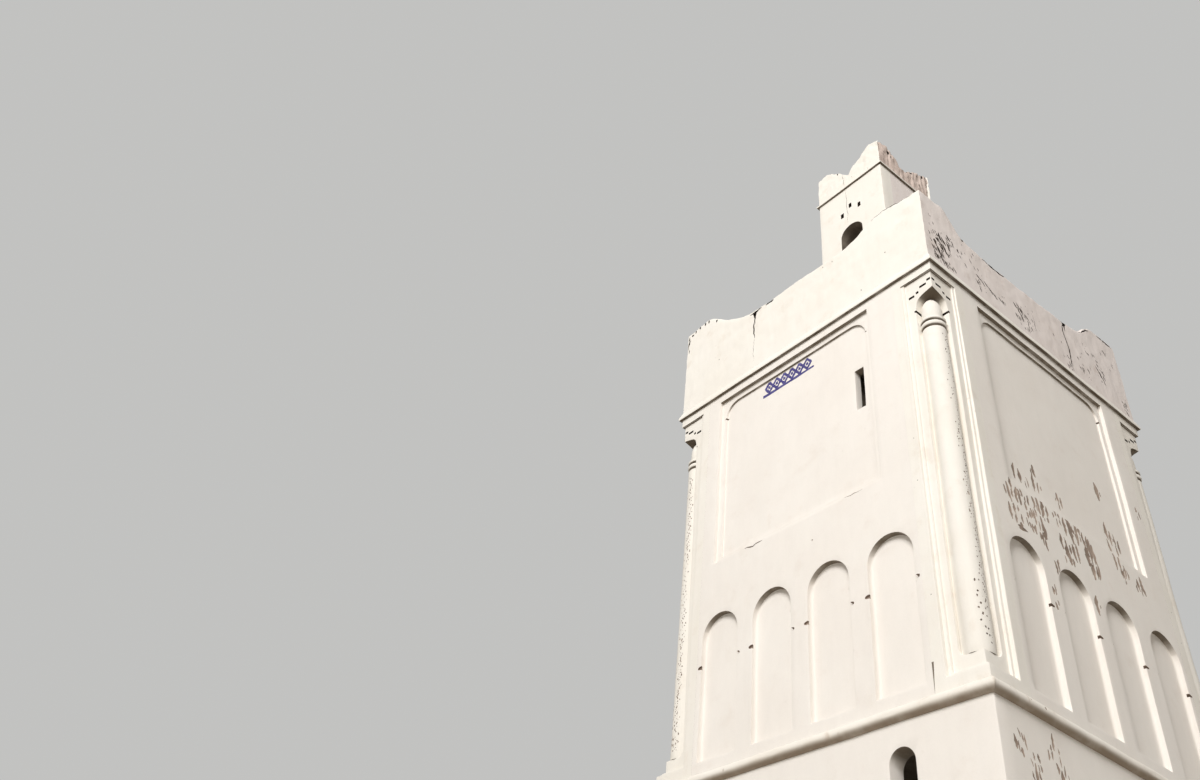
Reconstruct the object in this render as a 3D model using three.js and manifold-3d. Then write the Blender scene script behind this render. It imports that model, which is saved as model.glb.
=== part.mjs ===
// A square limewashed minaret, free-standing on its own ground.
// A plain lower shaft carries a half-round string course, an upper shaft with blind
// arches, sunk panels and a round column in a niche at each corner, a walled terrace,
// and a small square lantern with its own walled top.
// Millimetres, +Z up. The origin is on the ground at the middle of the plan, and the
// front face looks along -Y. Each face is drawn as the front one and turned about Z.

import * as THREE from "three";
import { mergeVertices } from "three/addons/utils/BufferGeometryUtils.js";
import Module from "manifold-3d";

const wasm = await Module();
wasm.setup();

// Driving dimensions
const WIDTH = 4500;
const HALF = WIDTH / 2;
const JOINT = 0.3;              // open joint between touching pieces
const CLEAR = 60;               // how far a cutter runs past the face that it cuts
const LOWER_WALL = 600;         // thickness of the lower shaft's walls
const COURSE_FOOT = 6130;       // underside of the string course
const COURSE_HEIGHT = 140;
const COURSE_REACH = 70;        // how far the half-round stands proud
const FRAME_TOP = 11650;        // top edge of the sunk frames and panels
const LEDGE_FOOT = FRAME_TOP + 127;
const CORNER_PIER = 600;
const UPPER_WALL = 600;
const UPPER_FOOT = COURSE_FOOT + COURSE_HEIGHT;
const UPPER_TOP = LEDGE_FOOT - JOINT;

// Sunk frame and niche on each corner pier
const FRAME_WIDTH = 460;
const FRAME_FOOT = COURSE_FOOT + 283;
const FRAME_DEPTH = 45;
const FRAME_STEP = 38;          // width of the second fillet
const FRAME_STEP_DEPTH = 30;
const FRAME_SUNK = FRAME_DEPTH + FRAME_STEP_DEPTH;
const NICHE_SIDE = 350;
const NICHE_FOOT = 6600;
const NICHE_SPRING = FRAME_TOP - 470;
const NICHE_APEX = FRAME_TOP - 170;
const NICHE_HEAD_SIDE = 310;    // the pointed head is a little narrower than the niche
const NICHE_HEAD_FULLNESS = 4;  // how late the sides of the head start to close in
const NICHE_HEAD_POINT = 0.625; // how bluntly they meet
const NICHE_NOTCH = { width: 30, height: 34, depth: 75 };    // at each springing of the head
const SLOT = { height: 20, depth: 35 };
const SLOTS = [                 // carved slots: distances from the corner, and level
  { near: 70, far: 128, level: FRAME_TOP - 60 },
  { near: 138, far: 245, level: FRAME_TOP - 107 },
  { near: 265, far: 302, level: FRAME_TOP - 172 },
  { near: 335, far: 410, level: FRAME_TOP - 200 },
];

// Corner column: shaft, two neck rings and a domed head
const COLUMN_RADIUS = 148;
const COLUMN_INSET = 201;       // axis to each outer wall face
const COLUMN_SIDES = 24;
const COLUMN_SHAFT_RADIUS = 139;
const COLUMN_PLINTH = 60;
const COLUMN_RINGS = [
  { foot: FRAME_TOP - 782, top: FRAME_TOP - 706 },
  { foot: FRAME_TOP - 696, top: FRAME_TOP - 636 },
];
const COLUMN_HEAD = { radius: 138, foot: FRAME_TOP - 627, shoulder: FRAME_TOP - 500, top: FRAME_TOP - 280 };
const EASE = 6;                 // bevel of the column's rings

// Blind arches and sunk panel on each face
const ARCH_COUNT = 4;
const ARCH_PITCH = 850;
const ARCH_HALF = 300;
const ARCH_APEX = FRAME_TOP - 3445;
const ARCH_DEPTH = 100;
const ARCH_COVE = 60;
const NOTCH_LEVEL = FRAME_TOP - 4085;
const NOTCH = { width: 90, height: 38, depth: 75 };
const PANEL_HALF = 1340;
const PANEL_HEIGHT = 2700;
const PANEL_DEPTH = 50;
const PANEL_STEP = 85;
const PANEL_STEP_DEPTH = 40;
const PANEL_ROUND = 235;
const PANEL_NOTCH = { width: 56, height: 40, depth: 130 };
const SLIT = { x: 1000, half: 57, foot: FRAME_TOP - 1430, top: FRAME_TOP - 840 };

// Openings of the lower shaft
const LOW_WINDOW = { x: 1215, half: 150, foot: 5150, spring: 5773 };
const DOORWAY = { half: 450, spring: 1850, archHalf: 400 };
const FLOOR_THICKNESS = 100;

// Ledge, terrace and parapet
const LEDGE = { reach: 62, nose: 42, height: 150 };
const TERRACE_TOP = LEDGE_FOOT + 200;
const PLAIN_TOP = [
  [-1900, 1740], [-1650, 1720], [-1300, 1520], [-900, 1380], [0, 1360],
  [900, 1380], [1300, 1520], [1650, 1720], [1900, 1740],
];
const PARAPET = {
  half: HALF,
  wall: 300,
  foot: LEDGE_FOOT + LEDGE.height,
  datum: FRAME_TOP,             // heights of the corners and tops are above this
  corners: [1535, 1740, 1700, 1930],
  tops: [                       // from left to right as seen from outside
    [
      [-1900, 1960], [-1720, 1950], [-1330, 1660], [-1000, 1490], [-700, 1440], [0, 1440],
      [700, 1420], [1000, 1430], [1270, 1525], [1480, 1620], [1650, 1640], [1900, 1580],
    ],
    [
      [-1900, 1560], [-1740, 1570], [-1600, 1350], [-1400, 1190], [-830, 1190], [0, 1240],
      [945, 1325], [1300, 1420], [1450, 1570], [1630, 1700], [1900, 1740],
    ],
    PLAIN_TOP,
    PLAIN_TOP,
  ],
};

// Lantern, a little off the middle of the terrace
const LANTERN_X = -50;
const LANTERN_Y = -40;
const LANTERN_HALF = 680;
const LANTERN_WALL = 250;
const LANTERN_LEDGE_FOOT = FRAME_TOP + 5108;
const LANTERN_LEDGE = { reach: 45, nose: 28, height: 70 };
const LANTERN_WINDOW = { x: -20, half: 225, foot: FRAME_TOP + 2950, spring: FRAME_TOP + 3885 };
const LANTERN_DOOR = { half: 290, foot: TERRACE_TOP - CLEAR, spring: TERRACE_TOP + 1500 };
const PLAIN_LANTERN_TOP = [[-500, 800], [-300, 640], [0, 420], [300, 640], [500, 800]];
const LANTERN_PARAPET = {
  half: LANTERN_HALF,
  wall: 150,
  foot: LANTERN_LEDGE_FOOT + LANTERN_LEDGE.height,
  datum: LANTERN_LEDGE_FOOT,
  corners: [695, 850, 790, 760],
  tops: [
    [[-500, 840], [-210, 580], [-40, 400], [140, 520], [440, 735], [500, 730]],
    [[-500, 750], [-380, 680], [-220, 600], [-35, 440], [110, 500], [420, 735], [500, 790]],
    PLAIN_LANTERN_TOP,
    PLAIN_LANTERN_TOP,
  ],
};
const LANTERN_ROOF = 110;
const HATCH_HALF = 400;

// Finishes
const IVORY_LIMEWASH = { color: 0xf3e9d8, roughness: 0.92, metalness: 0 };
const PALE_LIMEWASH = { color: 0xefe6df, roughness: 0.93, metalness: 0 };
const WEATHERED_LIMEWASH = { color: 0xd9cdbd, roughness: 0.95, metalness: 0 };
const FLOOR_SCREED = { color: 0xb9aa95, roughness: 0.96, metalness: 0 };

const SIDES = ["front", "right", "back", "left"];
const CORNERS = ["front_right", "back_right", "back_left", "front_left"];
const QUARTER = Math.PI / 2;

const minaret = new THREE.Group();
const lantern = new THREE.Group();
lantern.position.set(LANTERN_X, LANTERN_Y, 0);
minaret.add(lantern);

/** Adds one named piece, turned about Z by a number of quarter turns. */
function place(name, geometry, finish, quarters = 0, parent = minaret) {
  const mesh = new THREE.Mesh(geometry, new THREE.MeshStandardMaterial(finish));
  mesh.name = name;
  mesh.rotation.z = quarters * QUARTER;
  parent.add(mesh);
}

/** Turns a closed geometry into a solid that can be cut. */
function solidOf(geometry) {
  const bare = geometry.clone();
  bare.deleteAttribute("normal");
  bare.deleteAttribute("uv");
  const merged = mergeVertices(bare, 1e-3);
  return new wasm.Manifold(new wasm.Mesh({
    numProp: 3,
    vertProperties: Float32Array.from(merged.attributes.position.array),
    triVerts: Uint32Array.from(merged.index.array),
  }));
}

/** Turns a cut solid back into a geometry. */
function geometryOf(solid) {
  const cut = solid.getMesh();
  const geometry = new THREE.BufferGeometry();
  geometry.setAttribute("position", new THREE.BufferAttribute(cut.vertProperties, 3));
  geometry.setIndex(new THREE.BufferAttribute(cut.triVerts, 1));
  geometry.computeVertexNormals();
  return geometry;
}

/** A body less each of a list of cutters, all given as geometries. */
function cutAway(geometry, cutters) {
  let solid = solidOf(geometry);
  for (const cutter of cutters) {
    solid = solid.subtract(solidOf(cutter));
  }
  return geometryOf(solid);
}

/** A box between two corners. */
function block(x0, x1, y0, y1, z0, z1) {
  const geometry = new THREE.BoxGeometry(x1 - x0, y1 - y0, z1 - z0);
  return geometry.translate((x0 + x1) / 2, (y0 + y1) / 2, (z0 + z1) / 2);
}

/** An outline in x and z, extruded from y = back towards the front by depth. */
function slabOf(shape, back, depth, bevel = {}) {
  const settings = { depth, bevelEnabled: false, curveSegments: 9, ...bevel };
  const geometry = new THREE.ExtrudeGeometry(shape, settings);
  return geometry.rotateX(QUARTER).translate(0, back, 0);
}

/** The outline of a round-headed opening. */
function archShape({ x = 0, half, foot, spring }) {
  const shape = new THREE.Shape();
  shape.moveTo(x - half, foot);
  shape.lineTo(x + half, foot);
  shape.lineTo(x + half, spring);
  shape.absarc(x, spring, half, 0, Math.PI, false);
  shape.closePath();
  return shape;
}

/** A cutter for an opening through a wall whose outer face is at distance out. */
function throughCut(shape, out, thickness) {
  return slabOf(shape, -out + thickness + CLEAR, thickness + 2 * CLEAR);
}

/** A course along the front with mitred ends; the profile holds [distance out, height]. */
function mitredCourse(profile) {
  const section = new THREE.Shape(profile.map(([out, z]) => new THREE.Vector2(out, z)));
  const geometry = new THREE.ExtrudeGeometry(section, { depth: 1, bevelEnabled: false });
  const position = geometry.attributes.position;
  for (let i = 0; i < position.count; i += 1) {
    const out = position.getX(i);
    const z = position.getY(i);
    const end = position.getZ(i) < 0.5 ? 1 : -1;
    position.setXYZ(i, end * (out - JOINT), -out, z);
  }
  return geometry;
}

/** One side's parapet wall, mitred to its neighbours, with a top swept through its key points. */
function parapetWall({ half, wall, foot, datum, corners, tops }, quarters) {
  const rightCorner = datum + corners[quarters];
  const leftCorner = datum + corners[(quarters + 3) % 4];
  const keys = tops[quarters].map(([x, height]) => new THREE.Vector2(x, datum + height));
  const sweep = new THREE.SplineCurve(keys).getPoints(2 * (keys.length - 1)).reverse();
  const outline = new THREE.Shape();
  outline.moveTo(-half, foot);
  outline.lineTo(half, foot);
  outline.lineTo(half, rightCorner);
  sweep.forEach(({ x, y }) => outline.lineTo(x, y));
  outline.lineTo(-half, leftCorner);
  outline.closePath();
  const geometry = slabOf(outline, -(half - wall), wall);
  const position = geometry.attributes.position;
  for (let i = 0; i < position.count; i += 1) {
    const x = position.getX(i);
    if (Math.abs(x) > half - 1) {
      position.setX(i, Math.sign(x) * (-position.getY(i) - JOINT));
    }
  }
  return geometry;
}

/** The lower shaft: four walls round an open floor, with the doorway at the back. */
function addLowerShaft() {
  const top = COURSE_FOOT - JOINT;
  const inner = HALF - LOWER_WALL;
  const window = throughCut(archShape(LOW_WINDOW), HALF, LOWER_WALL);
  place("lower_wall_front", cutAway(block(-HALF, HALF, -HALF, -inner, 0, top), [window]), PALE_LIMEWASH);
  for (const quarters of [1, 3]) {
    const side = block(-inner + JOINT, inner - JOINT, -HALF, -inner, 0, top);
    place(`lower_wall_${SIDES[quarters]}`, side, PALE_LIMEWASH, quarters);
  }
  const { half, spring, archHalf } = DOORWAY;
  const jamb = block(half, HALF, -HALF, -inner, 0, top);
  place("door_jamb_wall_left", cutAway(jamb, [window]), PALE_LIMEWASH, 2);
  place("door_jamb_wall_right", block(-HALF, -half, -HALF, -inner, 0, top), PALE_LIMEWASH, 2);
  const head = block(-half + JOINT, half - JOINT, -HALF, -inner, spring, top);
  const arch = throughCut(archShape({ half: archHalf, foot: spring - CLEAR, spring }), HALF, LOWER_WALL);
  place("door_head_wall", cutAway(head, [arch]), PALE_LIMEWASH, 2);
  const reach = inner - JOINT;
  place("ground_floor", block(-reach, reach, -reach, reach, 0, FLOOR_THICKNESS), FLOOR_SCREED);
}

/** The half-round string course, in four mitred lengths. */
function addStringCourse() {
  const inner = HALF - LOWER_WALL;
  const foot = COURSE_FOOT;
  const top = COURSE_FOOT + COURSE_HEIGHT - JOINT;
  const middle = (foot + top) / 2;
  const profile = [[inner, foot], [HALF, foot]];
  const steps = 9;
  for (let i = 1; i < steps; i += 1) {
    const angle = -QUARTER + (Math.PI * i) / steps;
    const out = HALF + COURSE_REACH * Math.cos(angle);
    profile.push([out, middle + ((top - foot) / 2) * Math.sin(angle)]);
  }
  profile.push([HALF, top], [inner, top]);
  SIDES.forEach((side, quarters) => {
    place(`string_course_${side}`, mitredCourse(profile), WEATHERED_LIMEWASH, quarters);
  });
}

/** Half the width of the niche's pointed head at height z, across the corner's diagonal. */
function nicheHeadHalf(z) {
  const rise = (z - NICHE_SPRING) / (NICHE_APEX - NICHE_SPRING);
  const share = Math.pow(1 - Math.pow(rise, NICHE_HEAD_FULLNESS), NICHE_HEAD_POINT);
  return (NICHE_HEAD_SIDE - FRAME_SUNK) * Math.SQRT1_2 * share;
}

/** The cutter for a corner niche: a square notch under a pointed head folded round the corner. */
function nicheCutter() {
  const low = -HALF - CLEAR;
  const high = -HALF + NICHE_SIDE;
  const notch = block(-high, -low, low, high, NICHE_FOOT, NICHE_SPRING);
  const steps = 8;
  const side = [];
  for (let i = 0; i < steps; i += 1) {
    const z = NICHE_SPRING + ((NICHE_APEX - NICHE_SPRING) * i) / steps;
    side.push(new THREE.Vector2(nicheHeadHalf(z), z));
  }
  const head = new THREE.Shape();
  head.moveTo(-side[0].x, NICHE_SPRING - JOINT);
  head.lineTo(side[0].x, NICHE_SPRING - JOINT);
  side.forEach(({ x, y }) => head.lineTo(x, y));
  head.lineTo(0, NICHE_APEX);
  side.reverse().forEach(({ x, y }) => head.lineTo(-x, y));
  head.closePath();
  const depth = NICHE_SIDE * Math.SQRT2 + CLEAR;
  const folded = slabOf(head, 0, depth).rotateZ(Math.PI / 4).translate(-high, high, 0);
  return solidOf(notch).add(solidOf(folded));
}

/** A cutter for a box sunk into both faces of the corner, between two distances from it. */
function foldedSlot(near, far, depth, low, high) {
  const front = block(HALF - far, HALF - near, -HALF - CLEAR, -HALF + depth, low, high);
  const right = block(HALF - depth, HALF + CLEAR, -HALF + near, -HALF + far, low, high);
  return [front, right];
}

/** A corner pier: frame sunk in two steps, carved slots, and the niche for the column. */
function cornerPier() {
  const inner = HALF - CORNER_PIER;
  const pier = block(inner + JOINT, HALF, -HALF, -inner - JOINT, UPPER_FOOT, UPPER_TOP);
  const stepTop = FRAME_TOP - FRAME_STEP / 2;
  const cutters = [
    ...foldedSlot(-CLEAR, FRAME_WIDTH, FRAME_DEPTH, FRAME_FOOT, FRAME_TOP),
    ...foldedSlot(-CLEAR, FRAME_WIDTH - FRAME_STEP, FRAME_SUNK, FRAME_FOOT + FRAME_STEP, stepTop),
  ];
  for (const { near, far, level } of SLOTS) {
    const foot = level - SLOT.height / 2;
    cutters.push(...foldedSlot(near, far, FRAME_SUNK + SLOT.depth, foot, foot + SLOT.height));
  }
  const notchFar = NICHE_HEAD_SIDE + NICHE_NOTCH.width;
  const notchTop = NICHE_SPRING + NICHE_NOTCH.height;
  const notchDepth = FRAME_SUNK + NICHE_NOTCH.depth;
  cutters.push(...foldedSlot(FRAME_SUNK, notchFar, notchDepth, NICHE_SPRING, notchTop));
  const cut = solidOf(cutAway(pier, cutters));
  return geometryOf(cut.subtract(nicheCutter()));
}

/** The round corner column: plinth, shaft, two neck rings and a domed head. */
function cornerColumn() {
  const foot = NICHE_FOOT + JOINT;
  const r = COLUMN_RADIUS;
  const shaft = COLUMN_SHAFT_RADIUS;
  const profile = [[0, foot], [r, foot], [r, foot + COLUMN_PLINTH], [shaft, foot + COLUMN_PLINTH + EASE]];
  for (const ring of COLUMN_RINGS) {
    profile.push([shaft, ring.foot], [r, ring.foot + EASE], [r, ring.top - EASE], [shaft, ring.top]);
  }
  const { radius, foot: headFoot, shoulder, top } = COLUMN_HEAD;
  profile.push([radius - EASE, headFoot], [radius, headFoot + EASE], [radius, shoulder]);
  const steps = 5;
  for (let i = 1; i < steps; i += 1) {
    const angle = (QUARTER * i) / steps;
    profile.push([radius * Math.cos(angle), shoulder + (top - shoulder) * Math.sin(angle)]);
  }
  profile.push([0, top]);
  const points = profile.map(([x, z]) => new THREE.Vector2(x, z));
  const geometry = new THREE.LatheGeometry(points, COLUMN_SIDES).rotateX(QUARTER);
  return geometry.translate(HALF - COLUMN_INSET, -HALF + COLUMN_INSET, 0);
}

/** The cutter for one blind arch, coved at the back. */
function blindArch(x) {
  const half = ARCH_HALF - ARCH_COVE;
  const spring = ARCH_APEX - ARCH_HALF;
  const shape = archShape({ x, half, foot: FRAME_FOOT + ARCH_COVE, spring });
  const bevel = {
    bevelEnabled: true, bevelThickness: ARCH_DEPTH, bevelSize: ARCH_COVE, bevelSegments: 3,
  };
  return slabOf(shape, -HALF, CLEAR, bevel);
}

/** The outline of the inner sunk panel, with round top corners. */
function innerPanelShape() {
  const half = PANEL_HALF - PANEL_STEP;
  const top = FRAME_TOP - PANEL_STEP;
  const foot = FRAME_TOP - PANEL_HEIGHT + PANEL_STEP;
  const shape = new THREE.Shape();
  shape.moveTo(-half, foot);
  shape.lineTo(half, foot);
  shape.absarc(half - PANEL_ROUND, top - PANEL_ROUND, PANEL_ROUND, 0, QUARTER, false);
  shape.absarc(-half + PANEL_ROUND, top - PANEL_ROUND, PANEL_ROUND, QUARTER, Math.PI, false);
  shape.closePath();
  return shape;
}

/** A small pocket in the outer face, centred at x and z. */
function pocket(x, z, { width, height, depth }) {
  return block(x - width / 2, x + width / 2, -HALF - CLEAR, -HALF + depth, z - height / 2, z + height / 2);
}

/** One face of the upper shaft between two piers. */
function upperWall(hasSlit) {
  const reach = HALF - CORNER_PIER - JOINT;
  const wall = block(-reach, reach, -HALF, -HALF + UPPER_WALL, UPPER_FOOT, UPPER_TOP);
  const panelFoot = FRAME_TOP - PANEL_HEIGHT;
  const outer = block(-PANEL_HALF, PANEL_HALF, -HALF - CLEAR, -HALF + PANEL_DEPTH, panelFoot, FRAME_TOP);
  const sunk = PANEL_DEPTH + PANEL_STEP_DEPTH;
  const cutters = [outer, slabOf(innerPanelShape(), -HALF + sunk, sunk + CLEAR)];
  for (let i = 0; i < ARCH_COUNT; i += 1) {
    const x = (i - (ARCH_COUNT - 1) / 2) * ARCH_PITCH;
    cutters.push(blindArch(x));
    cutters.push(pocket(x - ARCH_HALF, NOTCH_LEVEL, NOTCH), pocket(x + ARCH_HALF, NOTCH_LEVEL, NOTCH));
  }
  const notchX = PANEL_HALF - PANEL_STEP;
  const notchZ = FRAME_TOP - PANEL_STEP - PANEL_ROUND;
  cutters.push(pocket(-notchX, notchZ, PANEL_NOTCH), pocket(notchX, notchZ, PANEL_NOTCH));
  if (hasSlit) {
    const { x, half, foot: low, top: high } = SLIT;
    cutters.push(block(x - half, x + half, -HALF - CLEAR, -HALF + UPPER_WALL + CLEAR, low, high));
  }
  return cutAway(wall, cutters);
}

/** The upper shaft: four faces, four piers and four columns. */
function addUpperShaft() {
  SIDES.forEach((side, quarters) => {
    place(`upper_wall_${side}`, upperWall(quarters % 2 === 0), PALE_LIMEWASH, quarters);
  });
  CORNERS.forEach((corner, quarters) => {
    place(`corner_pier_${corner}`, cornerPier(), IVORY_LIMEWASH, quarters);
    place(`corner_column_${corner}`, cornerColumn(), IVORY_LIMEWASH, quarters);
  });
}

/** A drip ledge profile: flat soffit, short nose and a wash sloping back to the wall. */
function ledgeProfile(half, foot, wall, { reach, nose, height }) {
  const top = foot + height - JOINT;
  const outer = half + reach;
  return [[half - wall, foot], [outer, foot], [outer, foot + nose], [half, top], [half - wall, top]];
}

/** The terrace: drip ledge, floor and swept parapet walls. */
function addTerrace() {
  const ledge = ledgeProfile(HALF, LEDGE_FOOT, PARAPET.wall, LEDGE);
  SIDES.forEach((side, quarters) => {
    place(`terrace_ledge_${side}`, mitredCourse(ledge), IVORY_LIMEWASH, quarters);
    place(`parapet_${side}`, parapetWall(PARAPET, quarters), IVORY_LIMEWASH, quarters);
  });
  const reach = HALF - PARAPET.wall - JOINT;
  const floor = block(-reach, reach, -reach, reach, LEDGE_FOOT, TERRACE_TOP);
  const side = 2 * HATCH_HALF;
  const hatch = new THREE.BoxGeometry(side, side, TERRACE_TOP - LEDGE_FOOT + 2 * CLEAR);
  hatch.translate(LANTERN_X, LANTERN_Y, (TERRACE_TOP + LEDGE_FOOT) / 2);
  place("terrace_floor", cutAway(floor, [hatch]), FLOOR_SCREED);
}

/** The lantern: four walls, drip ledge, roof and swept parapet. */
function addLantern() {
  const foot = TERRACE_TOP + JOINT;
  const top = LANTERN_LEDGE_FOOT - JOINT;
  const inner = LANTERN_HALF - LANTERN_WALL;
  const broad = block(-LANTERN_HALF, LANTERN_HALF, -LANTERN_HALF, -inner, foot, top);
  const narrow = block(-inner + JOINT, inner - JOINT, -LANTERN_HALF, -inner, foot, top);
  const window = throughCut(archShape(LANTERN_WINDOW), LANTERN_HALF, LANTERN_WALL);
  const door = throughCut(archShape(LANTERN_DOOR), LANTERN_HALF, LANTERN_WALL);
  place("lantern_wall_front", cutAway(broad, [window]), IVORY_LIMEWASH, 0, lantern);
  place("lantern_wall_right", narrow, IVORY_LIMEWASH, 1, lantern);
  place("lantern_wall_back", cutAway(broad, [door]), IVORY_LIMEWASH, 2, lantern);
  place("lantern_wall_left", narrow.clone(), IVORY_LIMEWASH, 3, lantern);

  const ledge = ledgeProfile(LANTERN_HALF, LANTERN_LEDGE_FOOT, LANTERN_PARAPET.wall, LANTERN_LEDGE);
  SIDES.forEach((side, quarters) => {
    const parapet = parapetWall(LANTERN_PARAPET, quarters);
    place(`lantern_ledge_${side}`, mitredCourse(ledge), IVORY_LIMEWASH, quarters, lantern);
    place(`lantern_parapet_${side}`, parapet, IVORY_LIMEWASH, quarters, lantern);
  });
  const reach = LANTERN_HALF - LANTERN_PARAPET.wall - JOINT;
  const roof = block(-reach, reach, -reach, reach, LANTERN_LEDGE_FOOT, LANTERN_LEDGE_FOOT + LANTERN_ROOF);
  place("lantern_roof", roof, FLOOR_SCREED, 0, lantern);
}

addLowerShaft();
addStringCourse();
addUpperShaft();
addTerrace();
addLantern();

export default minaret;
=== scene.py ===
"""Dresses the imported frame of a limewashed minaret.

Each piece of masonry is built again over its solid with rounded arrises, a surface that wanders
as hand-laid plaster does, and worn, pitted and peeling places. Metres, +Z up. Each side is shaped
as the front one, which looks along -Y, and turned by quarter turns about Z.
"""

import logging
import math
import random
from bisect import bisect_right
from collections.abc import Callable, Mapping, Sequence
from dataclasses import dataclass
from enum import Enum

import bmesh
import bpy
from mathutils import Matrix, Vector, noise


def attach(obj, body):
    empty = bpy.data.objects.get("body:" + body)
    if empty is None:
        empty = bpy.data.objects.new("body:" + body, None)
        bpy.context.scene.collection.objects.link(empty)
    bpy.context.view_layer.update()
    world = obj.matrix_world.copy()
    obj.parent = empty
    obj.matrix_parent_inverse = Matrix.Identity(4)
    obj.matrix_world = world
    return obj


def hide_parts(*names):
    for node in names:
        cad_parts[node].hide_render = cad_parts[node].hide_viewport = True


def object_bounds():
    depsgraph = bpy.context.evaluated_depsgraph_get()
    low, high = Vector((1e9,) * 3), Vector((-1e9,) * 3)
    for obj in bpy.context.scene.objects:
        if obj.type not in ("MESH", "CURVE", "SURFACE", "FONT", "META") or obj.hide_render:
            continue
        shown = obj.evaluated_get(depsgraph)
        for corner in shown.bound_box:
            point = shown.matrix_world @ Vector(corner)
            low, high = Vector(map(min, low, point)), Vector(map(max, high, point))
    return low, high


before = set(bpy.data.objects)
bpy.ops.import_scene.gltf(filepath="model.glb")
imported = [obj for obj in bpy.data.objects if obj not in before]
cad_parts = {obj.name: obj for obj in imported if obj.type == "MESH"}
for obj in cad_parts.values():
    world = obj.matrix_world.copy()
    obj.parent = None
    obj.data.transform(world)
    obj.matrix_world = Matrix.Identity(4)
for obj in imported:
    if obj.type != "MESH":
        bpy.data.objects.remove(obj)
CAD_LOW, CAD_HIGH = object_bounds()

LOG = logging.getLogger("minaret")
QUARTER = math.pi / 2
SIDES = ("front", "right", "back", "left")
CORNERS = ("front_right", "back_right", "back_left", "front_left")
# Metres: the gap between neighbours, a cutter's reach past a face, a tolerance, the reach that joins
# points, and how far plaster strays on walls and on courses
JOINT = 0.0003
CLEAR = 0.06
NEAR = 0.001
WELD = 2e-5
STRAY = 0.007
COURSE_STRAY = 0.006
# Degrees: the largest angle that counts as flat, the smallest that is rounded, and the smallest that
# stays an edge on walls and on rough skins
FLAT = 0.5
ROUNDED = 28.0
SHARP = 38.0
ROUGH_SHARP = 45.0
NOISE_SEED = 11

Triple = tuple[float, float, float]
RGB = Triple
Point = tuple[float, float]


class Coat(Enum):
    """The places of a masonry piece's material list."""

    LIMEWASH = 0
    # Bare render on walls, courses and columns; on piers, parapets and lantern walls, bared render painted
    # almost black as shade in hollows.
    BARE_AND_SHADE = 1
    INSIDE = 2


# Shader maths


class Value:
    """One shader socket; an expression on values adds its Math nodes."""

    def __init__(self, maker: "Mixer", socket: bpy.types.NodeSocket) -> None:
        """Wraps an output of the mixer's node tree."""
        self.maker = maker
        self.socket = socket

    def _math(self, operation: str, first: object, second: object) -> "Value":
        """Adds one Math node on two values or numbers."""
        return self.maker.node("ShaderNodeMath", {"operation": operation}, {0: first, 1: second})

    def __add__(self, other: object) -> "Value":
        """Sum."""
        return self._math("ADD", self, other)

    __radd__ = __add__

    def __sub__(self, other: object) -> "Value":
        """Difference."""
        return self._math("SUBTRACT", self, other)

    def __rsub__(self, other: object) -> "Value":
        """Difference from a number."""
        return self._math("SUBTRACT", other, self)

    def __mul__(self, other: object) -> "Value":
        """Product."""
        return self._math("MULTIPLY", self, other)

    __rmul__ = __mul__

    def band(self, low: float, high: float) -> "Value":
        """Rises smoothly from 0 at low to 1 at high, or falls where low is above high."""
        ends = {1: low, 2: high, 3: 0.0, 4: 1.0} if low <= high else {1: high, 2: low, 3: 1.0, 4: 0.0}
        return self.maker.node("ShaderNodeMapRange", {"interpolation_type": "SMOOTHSTEP"}, {0: self, **ends})


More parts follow.
